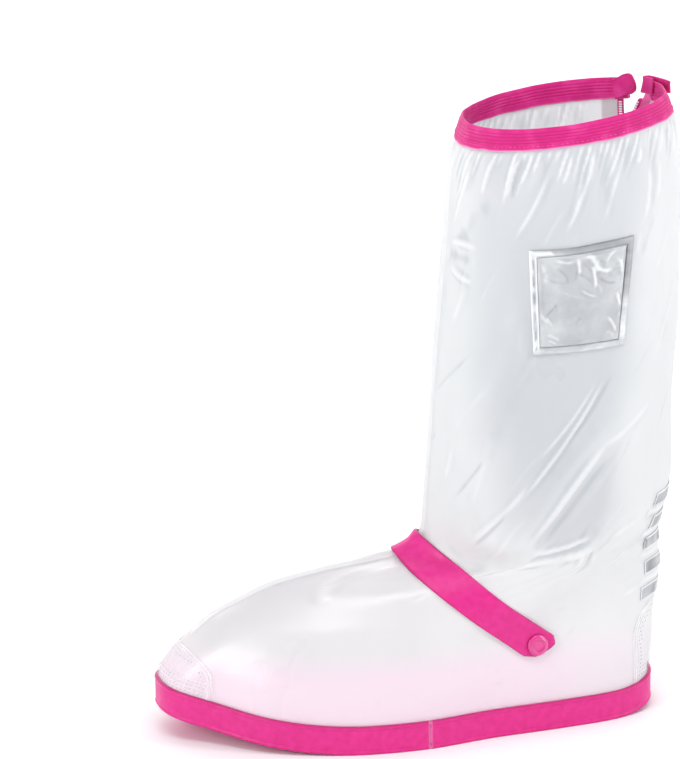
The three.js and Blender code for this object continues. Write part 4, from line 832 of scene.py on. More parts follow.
def patch_material():
    g = Graph("clear patch", (0.9, 0.92, 0.93))
    dot_pitch = 2.4
    cell = g.node("Mapping", {"Vector": g.node("UVMap", uv_map="place").outputs["UV"],
                              "Scale": (1 / dot_pitch, 1 / dot_pitch, 1)}).outputs["Vector"]
    dots = g.node("TexVoronoi", {"Vector": cell, "Scale": 1.0, "Randomness": 0.0}, voronoi_dimensions="2D")
    spot = g.maths("MULTIPLY", g.ramp(dots.outputs["Distance"], (0.16, 1.0), (0.26, 0.0)), g.mark("dots"))
    colour = g.ramp(g.noise(40.0), (0.3, (0.84, 0.86, 0.88)), (0.7, (0.95, 0.955, 0.96)))
    colour = g.blend(spot, colour, (0.5, 0.49, 0.52))
    colour = g.blend(g.mark("weld"), colour, (0.97, 0.97, 0.98))
    alpha = g.maths("MAXIMUM", g.maths("MAXIMUM", spot, g.mark("weld")), 0.2)
    return g.surface(Base_Color=colour, Roughness=0.14, IOR=1.5, Alpha=alpha, Coat_Weight=0.8,
                     Coat_Roughness=0.05, Normal=g.bump(g.noise(90.0), 0.0005, 0.4))


def pane_material():
    g = Graph("glossy pane", (0.8, 0.82, 0.84))
    shades = (0.35, (0.49, 0.5, 0.515)), (0.5, (0.56, 0.57, 0.585)), (0.68, (0.67, 0.68, 0.69))
    # Crests: painted glints on the pane's creases; hollows: painted shade in them
    colour = g.blend(g.mark("crest_whitening_and_highlight"), g.ramp(g.noise(70.0, 4.0), *shades), (1.0, 1.0, 1.0))
    colour = g.blend(g.mark("hollow_shade"), colour, (0.25, 0.26, 0.28))
    return g.surface(Base_Color=colour, Roughness=0.12, IOR=1.5, Alpha=0.82, Coat_Weight=1.0,
                     Coat_Roughness=0.03, Normal=g.bump(g.noise(180.0), 0.0006, 0.4))


def rubber_material():
    g = Graph("pink rubber", PINK)
    shades = (0.2, (0.63, 0.017, 0.2)), (0.5, PINK), (0.8, (0.75, 0.03, 0.268))
    # groove mark: painted shade along the rounded edges of the rand and the strap
    colour = g.blend(g.mark("groove"), g.ramp(g.noise(240.0, 4.0), *shades), PINK_DEEP)
    colour = g.blend(g.mark("edge"), colour, PINK_PALE)
    return g.surface(Base_Color=colour, Roughness=g.ramp(g.noise(140.0), (0.3, 0.34), (0.7, 0.5)),
                     Specular_IOR_Level=0.3, Coat_Weight=0.06, Coat_Roughness=0.25,
                     Normal=g.bump(g.noise(700.0, 2.0), 0.0002, 0.3))


def webbing_material():
    g = Graph("pink webbing", PINK)
    weave = g.node("TexWave", {"Vector": g.node("UVMap", uv_map="place").outputs["UV"], "Scale": 0.7,
                               "Distortion": 0.8, "Detail": 1.0}, bands_direction="DIAGONAL").outputs["Fac"]
    colour = g.ramp(g.noise(90.0, 4.0), (0.05, PINK_DEEP), (0.5, PINK), (1.0, PINK_LIGHT))
    colour = g.blend(g.maths("MULTIPLY", weave, 0.14), colour, PINK_DEEP)
    # groove mark: painted shade in the valleys between the band's ribs and round the tab's rim
    colour = g.blend(g.mark("groove"), colour, PINK_DEEP)
    colour = g.blend(g.mark("edge"), colour, PINK_PALE)
    return g.surface(Base_Color=colour, Roughness=0.6, Specular_IOR_Level=0.2, Sheen_Weight=0.05,
                     Sheen_Roughness=0.5, Normal=g.bump(weave, 0.0001, 0.4))


def cap_material():
    g = Graph("glossy pink cap", PINK)
    cloud = g.ramp(g.noise(120.0, 2.0), (0.3, PINK), (1.0, (0.76, 0.04, 0.28)))
    # groove mark: painted shade round the cap's foot and in the ring inside its rim
    return g.surface(Base_Color=g.blend(g.mark("groove"), cloud, PINK_DEEP), Roughness=0.3,
                     Specular_IOR_Level=0.3, Coat_Weight=1.0, Coat_Roughness=0.1, Coat_IOR=1.6,
                     Normal=g.bump(g.noise(300.0, 2.0), 0.0001, 0.1))


def silver_material():
    g = Graph("silver trim", (0.6, 0.62, 0.65))
    cloud = g.noise(60.0, 4.0, stretch=(1, 1, 2))
    colour = g.ramp(cloud, (0.3, (0.5, 0.51, 0.53)), (0.5, (0.66, 0.67, 0.69)), (0.72, (0.9, 0.9, 0.91)))
    # dark mark: painted shade on the window trim's top and right side; random darker patches on the stripes
    colour = g.blend(g.mark("dark"), colour, (0.15, 0.155, 0.17))
    # edge mark: painted highlights on the window trim; pale borders and ends on the stripes
    colour = g.blend(g.mark("edge"), colour, (0.95, 0.95, 0.96))
    metal = g.maths("SUBTRACT", 0.5, g.maths("MULTIPLY", g.mark("edge"), 0.5))
    return g.surface(Base_Color=colour, Metallic=metal, Roughness=g.ramp(cloud, (0.3, 0.45), (0.7, 0.28)),
                     Normal=g.bump(g.noise(500.0), 0.0002, 0.4))


def plain_material(name, dark, light, roughness, metallic=0.0):
    g = Graph(name, light)
    return g.surface(Base_Color=g.ramp(g.noise(200.0), (0.3, dark), (0.7, light)), Roughness=roughness,
                     Metallic=metallic, Normal=g.bump(g.noise(800.0, 2.0), 0.0001, 0.3))


# Each finish is a material and the slot of the record that it shows
FILM = film_material(), "clear_film"
PATCH = patch_material(), "clear_patch"
PANE = pane_material(), "clear_patch"
RUBBER = rubber_material(), "pink_rubber"
WEBBING = webbing_material(), "pink_webbing"
CAP = cap_material(), "pink_cap"
SILVER = silver_material(), "silver_trim"
COIL = plain_material("white coil", (0.8, 0.78, 0.8), (0.95, 0.94, 0.95), 0.4), "white_coil"
THREAD = plain_material("pink thread", PINK_DEEP, PINK_LIGHT, 0.6), "pink_webbing"
ALLOY = plain_material("plated alloy", (0.6, 0.6, 0.62), (0.8, 0.8, 0.82), 0.24, metallic=0.95)


# Film panels: the front edge turned out as a weld, the inner one open along the zip

PANEL_ROWS, PANEL_COLUMNS = 300, 180
COLUMNS_BEFORE_ZIP, COLUMNS_OF_SLOT, COLUMNS_BEHIND_ZIP, COLUMNS_OF_FIN = 110, 6, 64, 2


def painted_shade_zone(around, level):
    """Painted shade: over the middle of each side of the shaft away from its edges, in a corner past a fold,
    and along the top of the foot.
    """
    first = np.interp(level, (0.3, 0.37, 0.5, 0.72, 0.9), (0.39, 0.33, 0.25, 0.19, 0.16))
    last = np.interp(level, (0.3, 0.38, 0.48, 0.58, 0.69, 0.81, 0.92),
                     (0.6, 0.62, 0.6, 0.64, 0.62, 0.66, 0.69))
    shaft = smooth((around - first) / 0.2 + 0.5) * smooth((last - around) / 0.16 + 0.5)
    shaft *= smooth((level - 0.28) / 0.05)
    foot = 0.5 * smooth((0.16 - around) / 0.13) * smooth((0.3 - level) / 0.05) * smooth((level - 0.1) / 0.08)
    past_fold = around - 0.39 - 1.2 * (level - 0.3)
    beside = smooth((level - 0.3) / 0.02) * smooth((0.53 - level) / 0.06)
    shaft *= 1 - 0.6 * beside * bell((past_fold + 0.03) / 0.035)
    corner = smooth(past_fold / 0.035) * smooth((0.66 - around) / 0.08) * beside
    return np.maximum(np.maximum(shaft, corner), foot)


def panel_shares(side, heights):
    """Stations of each row of a panel, and the back edge of the zip's slot."""
    def between(a, b, count):
        return a[:, None] + (b - a)[:, None] * np.linspace(0, 1, count)
    first, last = 1.7 / side_length(side, heights), np.ones(len(heights))
    if side == OUTER:
        return between(first, last, PANEL_COLUMNS), None
    half = SLOT_WIDTH / 2 + notch_half(heights)
    left = zip_around(heights, -half)
    right = np.minimum(zip_around(heights, half), 1 - 2 / side_length(side, heights))
    return np.hstack([between(first, left, COLUMNS_BEFORE_ZIP),
                      between(left, right, COLUMNS_OF_SLOT)[:, 1:-1],
                      between(right, last, COLUMNS_BEHIND_ZIP)]), right


def add_panel(name, node, side):
    heights = np.linspace(FILM_BOTTOM, FILM_TOP, PANEL_ROWS)
    level, length = heights[:, None], side_length(side, heights)[:, None]
    shares, slot_back = panel_shares(side, heights)

    seam = sample(side, np.zeros(PANEL_ROWS), heights)
    turned = smooth((level - TOE_CAP_TOP - 2) / 10) * smooth((BAND_BOTTOM - 4 - level) / 10)
    fin = [seam[:, :3] + seam[:, 3:6] * reach * turned + [0, side * aside, 0]
           for reach, aside in ((SEAM_FIN, 0.15), (0.2, 0.9))]
    grid = np.concatenate([np.stack(fin, 1), skin(side, shares, level)], 1)
    rows, columns = grid.shape[:2]
    faces = grid_faces(rows, columns)
    if side == INNER:
        row, column = np.divmod(np.arange(len(faces)), columns - 1)
        slot = COLUMNS_BEFORE_ZIP - 1 + COLUMNS_OF_FIN
        gone = (column >= slot) & (column < slot + COLUMNS_OF_SLOT - 1)
        gone &= heights[row] > ZIP_BOTTOM + TAPE_WIDTH / 2
        faces = faces[~gone][:, ::-1]

    def with_fin(values, on_fin=0.0):
        return np.concatenate([np.full((rows, COLUMNS_OF_FIN), on_fin), values], 1)
    bend = with_fin(sample(side, shares, level)[..., 7], 0.2)
    on_shaft = 1 - 0.65 * smooth((ANKLE_HEIGHT - level) / 25)
    # Painted shade over the middle of the shaft, weaker on the inner side
    painted_shade = painted_shade_zone(shares, level / COVER_HEIGHT) * (1.0 if side == OUTER else 0.4)
    tape = np.zeros(shares.shape)
    if side == INNER:
        from_lip = (shares - slot_back[:, None]) * length
        tape = smooth((TAPE_WIDTH - SLOT_WIDTH / 2 - 1 - from_lip) / 2) * (from_lip > -0.5)
        tape *= smooth((level - ZIP_BOTTOM - TAPE_WIDTH) / 5)
    # Crests: whitening of creased film with painted highlight; hollows: painted shade, weaker low on the
    # foot
    marks = {"crest_whitening_and_highlight": smooth(bend * 6 - 0.1), "hollow_shade": smooth(-bend * 8 - 0.12) * on_shaft,
             "painted_shade": with_fin(painted_shade), "tape": with_fin(tape)}
    panel = add_mesh(name, grid, faces, FILM, node, pairs(with_fin(shares * length, -1.0), level), marks)
    return panel


panel_outer = add_panel("film_outer", "upper_outer_panel", OUTER)
panel_inner = add_panel("film_inner", "upper_inner_panel", INNER)


# Outsole: grooves cut up into its underside, in waves under the ball and finer ones under the heel

SOLE_STATIONS, SOLE_COLUMNS, SOLE_INSET = 220, 72, 0.1
TREAD_PITCH, TREAD_DEPTH, TREAD_END_X = 13, 1.6, 30
HEEL_TREAD_PITCH, HEEL_TREAD_DEPTH, HEEL_TREAD_START_X = 9, 0.9, 82


def add_outsole():
    stations = np.linspace(0.006, 1 - 0.25 / GATHER_COLUMNS, SOLE_STATIONS)
    across = np.linspace(0, 1, SOLE_COLUMNS)[:, None]

    def level(height):
        outer, inner = (skin(side, stations, height, -SOLE_INSET)[:, None] for side in (OUTER, INNER))
        return outer + (inner - outer) * across
    low, high = level(0.0), level(float(SOLE_THICKNESS))
    x, y = low[..., 0], low[..., 1]
    edge = np.minimum(np.minimum(across.T, 1 - across.T) * 18, 1) * smooth((x + HALF_SOLE - 8) / 5)
    wave = np.sin(2 * np.pi * (x + 5 * np.sin(y / 9)) / TREAD_PITCH)
    groove = smooth((wave - 0.25) / 0.35) * smooth((TREAD_END_X - x) / 6)
    wave = np.sin(2 * np.pi * (x + 2 * np.sin(y / 7)) / HEEL_TREAD_PITCH)
    heel = smooth((wave - 0.5) / 0.3)
    heel *= smooth((x - HEEL_TREAD_START_X) / 5) * smooth((HALF_SOLE - 10 - x) / 5)
    low[..., 2] += (TREAD_DEPTH * groove + HEEL_TREAD_DEPTH * heel) * smooth(edge * 2 - 1)
    wall("sole_plate", low, high, RUBBER, "outsole", pairs(x, y))


add_outsole()


# Rand: a strip round the sole with beaded edges, butted on the outer side

def add_rand():
    joint = around_at_x(OUTER, 0.0, RAND_JOINT_X)
    gap = CLEARANCE / 2 / side_length(OUTER, 0.0)
    parts = ((OUTER, np.linspace(joint + gap, 1, 120)), (INNER, np.linspace(1, 0, 210)[1:]),
             (OUTER, np.linspace(0, joint - gap, 120)[1:]))
    shares = np.concatenate([part for _, part in parts])[:, None]
    sides = np.concatenate([np.full(len(part), side) for side, part in parts])[:, None]
    half = RAND_HEIGHT / 2
    across, out, top = strip_section(half, CLEARANCE, CLEARANCE + RAND_THICKNESS, 0.7, 26)
    from_middle = np.abs(across)
    bead = bell((from_middle - half + 1.3) / 0.55) * 0.35 - bell((from_middle - half + 2.6) / 0.5) * 0.25
    grid = skin_path(sides, shares, half + across, out + top * (bead - 0.1))
    along = run_along(grid[:, 12])
    ends = 0.5 * bell(np.minimum(along, along[-1] - along) / 0.6)[:, None]
    # groove: painted shade along the rand's rounded long edges
    tube("rand_strip", grid, RUBBER, "sole_rand", pairs(along[:, None], across + half),
         {"groove": 0.8 * smooth((from_middle - half + 0.9) / 0.6), "edge": ends})


add_rand()


# Patches at the toe and the heel, with a double weld line along their edge

PATCH_ROWS, PATCH_COLUMNS = 60, 90
WELD_LINES, WELD_HALF_WIDTH, WELD_HEIGHT = (1.3, 3.0), 0.45, 0.35


def side_and_share(distance, height):
    """Side and share of the way round of places at a distance from an end seam."""
    side = np.where(distance < 0, OUTER, INNER)
    length = np.where(side == OUTER, side_length(OUTER, height), side_length(INNER, height))
    return side, np.abs(distance) / length


def add_arched_patch(name, node, end, top, reach, power, waist, last):
    """Patch round an end seam. end: 0 at the toe, 1 at the heel; last: share of the arch that is built."""
    rises = np.linspace(0, last, PATCH_ROWS)
    half = reach * (1 - rises ** power) ** (1 / power) * (1 - waist + waist * np.sin(np.pi * rises))
    bottom = RAND_HEIGHT + CLEARANCE
    heights = bottom + (top - bottom) * rises
    distance = half[:, None] * np.linspace(-1, 1, PATCH_COLUMNS)
    height = np.broadcast_to(heights[:, None], distance.shape)
    side, share = side_and_share(distance, height)
    share = np.abs(end - share)
    slope = np.abs(np.gradient(half, heights))[:, None]
    edge = np.minimum((half[:, None] - np.abs(distance)) / np.hypot(1, slope), heights[-1] - height)
    weld = sum(bell((edge - line) / WELD_HALF_WIDTH) for line in WELD_LINES)
    out = CLEARANCE + PATCH_THICKNESS * smooth(edge / 0.7) + WELD_HEIGHT * weld
    grid = skin_path(side, share, height, out)
    dots = np.maximum(smooth((bottom + 13 - height) / 5), smooth((9 - edge) / 3)) * smooth(edge - 4)
    patch = add_mesh(name, grid, grid_faces(*grid.shape[:2]), PATCH, node, pairs(distance, height),
                     {"weld": np.clip(weld, 0, 1) * 0.6, "dots": dots * 0.75})


add_arched_patch("toe_patch", "toe_cap", 0, TOE_CAP_TOP, TOE_CAP_REACH, 2.4, 0.0, 0.985)
add_arched_patch("heel_patch", "heel_counter", 1, HEEL_COUNTER_TOP, HEEL_COUNTER_REACH, 3.2, 0.07, 0.99)


# Silver stripes round the back

STRIPE_SHADE = Noise(5, 9)


def add_stripe(index, span):
    half = STRIPE_HEIGHT / 2
    distance = np.linspace(-span / 2, span / 2, 90)[:, None]
    across, out, top = strip_section(half, CLEARANCE, CLEARANCE + STRIPE_THICKNESS, 0.3, 14)
    height = STRIPE_BOTTOM + index * STRIPE_PITCH + half + across[None, :]
    side, share = side_and_share(distance, height)
    rib = 0.18 * bell((np.abs(across) - half + 0.9) / 0.4) * top
    grid = skin_path(side, 1 - share, height, out + rib)
    ends = bell((span / 2 - np.abs(distance)) / 0.6)
    edge = np.maximum(1 - smooth((half - 0.2 - np.abs(across)) / 0.4) * top, ends) * 0.9
    shade = np.clip(0.52 + 0.35 * STRIPE_SHADE(distance, 40.0 * index), 0.1, 0.7)
    tube(f"stripe_{index + 1}", grid, SILVER, f"reflective_stripe_{index + 1}", pairs(distance, height),
         {"edge": edge, "dark": shade})


for stripe, stripe_span in enumerate(STRIPE_SPANS):
    add_stripe(stripe, stripe_span)


# Window: a glossy pane in a silver frame

PANE_STEPS, FRAME_STEPS = 100, 29


def window_skin(across, up, out):
    (low_left, low_right), (high_left, high_right) = WINDOW_EDGES
    left = low_left + (high_left - low_left) * up
    right = low_right + (high_right - low_right) * up
    x = WINDOW_LEFT_X + WINDOW_WIDTH * (left + (right - left) * across)
    height = WINDOW_BOTTOM + WINDOW_HEIGHT * up
    shares = [around_at_x(OUTER, level, place) for level, place in zip(height.ravel(), x.ravel())]
    return skin(OUTER, np.reshape(shares, x.shape), height, out)


def add_pane():
    edge = (WINDOW_FRAME_WIDTH + CLEARANCE) / WINDOW_WIDTH
    lines = np.linspace(edge, 1 - edge, PANE_STEPS)
    across, up = np.meshgrid(lines, lines)
    size = WINDOW_WIDTH, WINDOW_HEIGHT
    x, z = across * size[0], up * size[1]
    rim = (np.minimum(np.minimum(across, 1 - across), np.minimum(up, 1 - up)) - edge) * WINDOW_WIDTH
    ripple = 0.35 * Noise(9, 14)(x, z)
    creases = listed_wrinkles(x, z, PANE_WRINKLES, size)
    creases += stray_wrinkles(x, z, PANE_STRAY_COUNT, size, PANE_STRAYS,
                              lambda: random.normal(0.7, 0.7), lambda: random.uniform(-2, 2))
    swell = (ripple + creases) * smooth(rim / 3)
    spacing = WINDOW_WIDTH * (1 - 2 * edge) / (PANE_STEPS - 1)
    bend = bend_of(swell, spacing, spacing)
    grid = window_skin(across, up, CLEARANCE + PATCH_THICKNESS * smooth((rim + 0.3) / 0.8) + swell)
    # Painted glints on the crests of the creases and painted shade in their hollows
    marks = {"crest_whitening_and_highlight": np.clip(bend * 1.6 + 0.4 * creases - 0.12, 0, 0.75),
             "hollow_shade": np.clip(-bend * 1.5, 0, 0.45)}
    pane = add_mesh("window_pane", grid, grid_faces(PANE_STEPS, PANE_STEPS), PANE, "window_patch",
                    pairs(x, z), marks)


def add_window_frame():
    half = WINDOW_FRAME_WIDTH / 2
    way = np.arange(4 * FRAME_STEPS) / FRAME_STEPS
    part, share = way.astype(int), way % 1
    corners = np.array([(0, 0), (1, 0), (1, 1), (0, 1), (0, 0)], float)
    loop = corners[part] + (corners[part + 1] - corners[part]) * share[:, None]
    section, out, top = strip_section(half, CLEARANCE, CLEARANCE + PATCH_THICKNESS, 0.3, 8)
    inset = ((half - section) / WINDOW_WIDTH)[:, None]
    inner = inset + (1 - 2 * inset) * loop[:, None]
    grid = window_skin(inner[..., 0], inner[..., 1], out + 0.25 * bell(section / 1.1) * top)
    # Painted shade and reflection: the trim darker along its right side and top; darker weld dashes on the
    # left, darker lines along both borders
    dark = np.choose(part, [np.full(len(way), 0.08), 0.55 * smooth((share - 0.3) / 0.25),
                            0.5 - 0.15 * smooth((share - 0.5) / 0.3), np.full(len(way), 0.1)])
    dashes = 0.5 * (part == 3) * smooth((np.sin(np.pi * share * 5.5) ** 2 - 0.3) / 0.2)
    dark = dark[:, None] + dashes[:, None] * bell(section / 0.7)
    dark = np.clip(dark + 0.2 * smooth((np.abs(section) - half + 0.6) / 0.4), 0, 0.8)
    # Painted highlights: a pale line along the left side and by the top's left end
    painted_highlight = ((part == 3)[:, None] * bell((np.abs(section) - 1.7) / 0.5)
            + ((part == 2) & (share > 0.8))[:, None] * bell(section / 1.2))
    tube("window_trim", grid, SILVER, "window_frame", looped=True,
         marks={"dark": dark, "edge": np.clip(0.9 * painted_highlight, 0, 1)})


add_pane()
add_window_frame()


# Rim band: ribbed elastic folded over the rim, with a stitch row near its lower edge

WEB_THICKNESS, CLOSURE_STRAP_RISE = 0.85, 2.5
BAND_INSIDE, BAND_OUTSIDE = -(0.3 + WEB_THICKNESS), CLEARANCE + WEB_THICKNESS
BAND_STATIONS, BAND_RIBS, RIB_DEPTH, BAND_FOLD = 560, 5, 0.17, 1.2
STITCH_PITCH, STITCH_LENGTH, STITCH_HEIGHT, STITCH_RADIUS = 2.7, 1.7, 2.4, 0.32


def band_stations():
    """Side, share and way of the stations round the rim, from one side of the notch to the other."""
    end = notch_half(COVER_HEIGHT)
    front, back = zip_around(COVER_HEIGHT, -end), zip_around(COVER_HEIGHT, end)
    sides, shares = [], []
    for side, a, b in ((INNER, front, 0.0), (OUTER, 0.0, 1.0), (INNER, 1.0, back)):
        count = max(3, int(BAND_STATIONS * abs(b - a) / 2))
        shares.append(np.linspace(a, b, count)[(0 if not sides else 1):])
        sides.append(np.full(len(shares[-1]), side))
    shares, sides = np.concatenate(shares), np.concatenate(sides)
    run = np.r_[0, np.cumsum(np.abs(np.diff(shares)))] * side_length(OUTER, COVER_HEIGHT)
    return sides[:, None], shares[:, None], run[:, None]


def add_band():
    sides, shares, run = band_stations()
    up = np.linspace(0, 1, 44)
    ribs = RIB_DEPTH * np.cos(2 * np.pi * BAND_RIBS * (up - 0.14) / 0.8)
    ribs *= smooth((up - 0.22) * 12) * smooth((0.97 - up) * 12)
    pinch = 0.35 * smooth((up - 0.7) / 0.3)
    body = COVER_HEIGHT - BAND_FOLD - BAND_BOTTOM
    turn = np.linspace(0, np.pi, 9)[1:-1]
    middle, radius = (BAND_OUTSIDE + BAND_INSIDE) / 2, (BAND_OUTSIDE - BAND_INSIDE) / 2
    height = np.r_[BAND_BOTTOM + body * up, COVER_HEIGHT - BAND_FOLD + BAND_FOLD * np.sin(turn),
                   BAND_BOTTOM + body * up[::-1], BAND_BOTTOM, FILM_TOP + 0.2, FILM_TOP + 0.2, BAND_BOTTOM]
    out = np.r_[BAND_OUTSIDE + ribs - pinch, middle + (radius - pinch[-1]) * np.cos(turn),
                (BAND_INSIDE - ribs + pinch)[::-1], BAND_INSIDE + WEB_THICKNESS, BAND_INSIDE + WEB_THICKNESS,
                CLEARANCE, CLEARANCE]
    share_up = np.clip((height - BAND_BOTTOM) / BAND_HEIGHT, 0, 1)
    uneven = Noise(5.5, 9)
    pucker = 0.3 * uneven(run, share_up * 0) * (1 - share_up) ** 2
    wobble = 0.3 * uneven(run + 300, share_up * 0 + 40) * (1 - share_up)
    grid = skin_path(sides, shares, height - wobble, out + pucker * (out > 0))
    rest = np.zeros(4)
    # Painted shade in the valleys between the ribs
    groove = np.clip(-np.r_[ribs, turn * 0, ribs[::-1], rest] * 7, 0, 1) ** 1.5 * 0.8
    edge = np.r_[bell(up / 0.05) * 0.9, turn * 0, bell(up[::-1] / 0.05) * 0.5, rest]
    tube("rim_band", grid, WEBBING, "top_band", pairs(run, height), {"groove": groove, "edge": edge})

    def along(at):
        index = np.interp(at, run[:, 0], np.arange(len(run)))
        low = np.minimum(index.astype(int), len(run) - 2)
        a, b = (skin_path(sides[k], shares[k], BAND_BOTTOM + STITCH_HEIGHT, BAND_OUTSIDE + 0.15)[:, 0]
                for k in (low, low + 1))
        return a + (b - a) * (index - low)[:, None]
    starts = np.arange(4, run[-1, 0] - 6, STITCH_PITCH)
    a, b = along(starts), along(starts + STITCH_LENGTH)
    stitches("band_stitches", a, b, np.cross(b - a, [0, 0, 1]), STITCH_RADIUS, THREAD)


add_band()


# Closure at the notch: a round tab inside the front end and a strap turned round the back end

def add_tab():
    straight = TAB_OVERLAP + TAB_REACH - TAB_RADIUS
    angle = np.linspace(0, np.pi * 0.45, 12)
    run = np.r_[np.linspace(0, straight, 14)[:-1], straight + TAB_RADIUS * np.sin(angle)]
    half = np.r_[np.full(13, TAB_RADIUS), TAB_RADIUS * np.cos(angle)]
    rise = smooth(run / straight)
    middle = (COVER_HEIGHT - BAND_HEIGHT / 2 * (1 - rise) + (TAB_RISE - TAB_RADIUS) * rise)[:, None]
    height = middle + half[:, None] * np.linspace(-1, 1, 25)
    around = zip_around(COVER_HEIGHT, run - TAB_OVERLAP - notch_half(COVER_HEIGHT))[:, None]
    from_rim = TAB_RADIUS - np.hypot(np.maximum(run - straight, 0)[:, None], height - middle)
    front, back = (skin(INNER, around, height, BAND_INSIDE - 2 * CLEARANCE - depth)
                   for depth in (0, STRAP_THICKNESS))
    # groove: painted shade on the tab's rim
    tab = wall("round_tab", front, back, WEBBING, "closure_tab", pairs(run[:, None], height),
               {"groove": 0.8 * smooth((1.5 - from_rim) / 1.2)})
    bevel(tab, 0.45)


def add_closure_strap():
    gap = CLEARANCE + BAND_THICKNESS / 2
    inside_face, outside_face = BAND_INSIDE - gap, BAND_OUTSIDE + gap
    radius = (outside_face - inside_face) / 2
    bend = np.linspace(0, np.pi, 14)[1:]
    free = np.linspace(0, 1, 20)[1:]
    distance = np.r_[np.linspace(CLOSURE_STRAP_FIXED, 0, 10), -radius * np.sin(bend),
                     CLOSURE_STRAP_FREE * free]
    out = np.r_[np.full(10, inside_face), inside_face + radius * (1 - np.cos(bend)),
                outside_face + CLOSURE_STRAP_SPREAD * free ** 2]
    slope = unit(np.stack([np.gradient(distance), np.gradient(out)], -1))
    top = COVER_HEIGHT - CLEARANCE + CLOSURE_STRAP_RISE
    height = np.linspace(top - CLOSURE_STRAP_WIDTH, top, 12)[None, :]

    def face_at(offset):
        away = (notch_half(COVER_HEIGHT) + distance - offset * slope[:, 1])[:, None]
        return zip_skin(height, away, (out + offset * slope[:, 0])[:, None])
    uv = pairs(run_along(np.stack([distance, out], -1))[:, None], height)
    strap = wall("closing_strap", face_at(BAND_THICKNESS / 2), face_at(-BAND_THICKNESS / 2), WEBBING,
                 "closure_strap", uv)
    bevel(strap, 0.35)


add_tab()
add_closure_strap()


# Zip: tapes with a raised lip and two stitch lines, teeth behind the lips

TAPE_TOP = BAND_BOTTOM - CLEARANCE
TOOTH_PITCH, TOOTH_RADIUS = 1.5, 0.6
TAPE_STITCH_LINES, TAPE_STITCH_PITCH, TAPE_STITCH_LENGTH, TAPE_STITCH_RADIUS = (3.4, 11.6), 2.8, 1.8, 0.28


def add_tape(name, sign):
    corner = TAPE_WIDTH * 0.9
    start = ZIP_BOTTOM + corner * (1 - np.cos(np.linspace(0, np.pi / 2, 14)[:-1]))
    heights = np.r_[start, np.linspace(ZIP_BOTTOM + corner, TAPE_TOP, 190)][:, None]
    drop = np.clip(1 - (heights - ZIP_BOTTOM) / corner, 0, 1)
    width = np.maximum(1.5, TAPE_WIDTH * np.sqrt(1 - drop * drop))
    across, out, top = strip_section(width / 2, 0.25, CLEARANCE + TAPE_THICKNESS, 0.4, 22)
    from_lip = width / 2 + across
    distance = notch_half(heights) + CLEARANCE / 2 + from_lip
    out = out + top * (0.45 * bell((from_lip - 0.9) / 0.8) - 0.2 * bell((from_lip - 2.6) / 0.6)
                       + 0.12 * bell((from_lip - width + 1.6) / 0.5))
    grid = skin(INNER, zip_around(heights, sign * distance), heights, out)
    tube(f"tape_{name}", grid, WEBBING, f"zip_tape_{name}", pairs(distance, heights))

    def thread(height, place):
        around = zip_around(height, sign * (notch_half(height) + place))
        return skin(INNER, around, height, CLEARANCE + TAPE_THICKNESS + 0.12)
    at = np.arange(ZIP_BOTTOM + corner, TAPE_TOP - 3, TAPE_STITCH_PITCH)
    a, b = (np.vstack([thread(at + run, place) for place in TAPE_STITCH_LINES])
            for run in (0, TAPE_STITCH_LENGTH))
    outs = np.cross(b - a, [1, 0, 0.0])
    stitches(f"tape_{name}_stitches", a, b, outs * np.sign(outs[:, 1:2]), TAPE_STITCH_RADIUS, THREAD)


def add_coil(name, sign):
    at = np.arange(ZIP_BOTTOM + TAPE_WIDTH / 2 + 3, TAPE_TOP - 1.5, TOOTH_PITCH)
    lip = notch_half(at) + CLEARANCE
    a, b = (skin(INNER, zip_around(at, sign * (lip + reach)), at, -0.2 - COIL_THICKNESS / 2)
            for reach in (0, COIL_WIDTH))
    stitches(f"coil_{name}", a, b, np.cross(b - a, [0, 0, 1.0]), TOOTH_RADIUS, COIL, f"zip_coil_{name}")


for half_name, half_sign in (("front", -1), ("back", 1)):
    add_tape(half_name, half_sign)
    add_coil(half_name, half_sign)
for alloy_name in ("zip_slider", "zip_pull"):
    alloy_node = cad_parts[alloy_name]
    alloy_node.data.materials.clear()
    alloy_node.data.materials.append(ALLOY)
    bevel(alloy_node, 0.3)


# Instep strap with its two snaps

STRAP_ROWS, STRAP_LINES, TAUT_PASSES, TAUT_SHARE = 150, 15, 60, 0.85


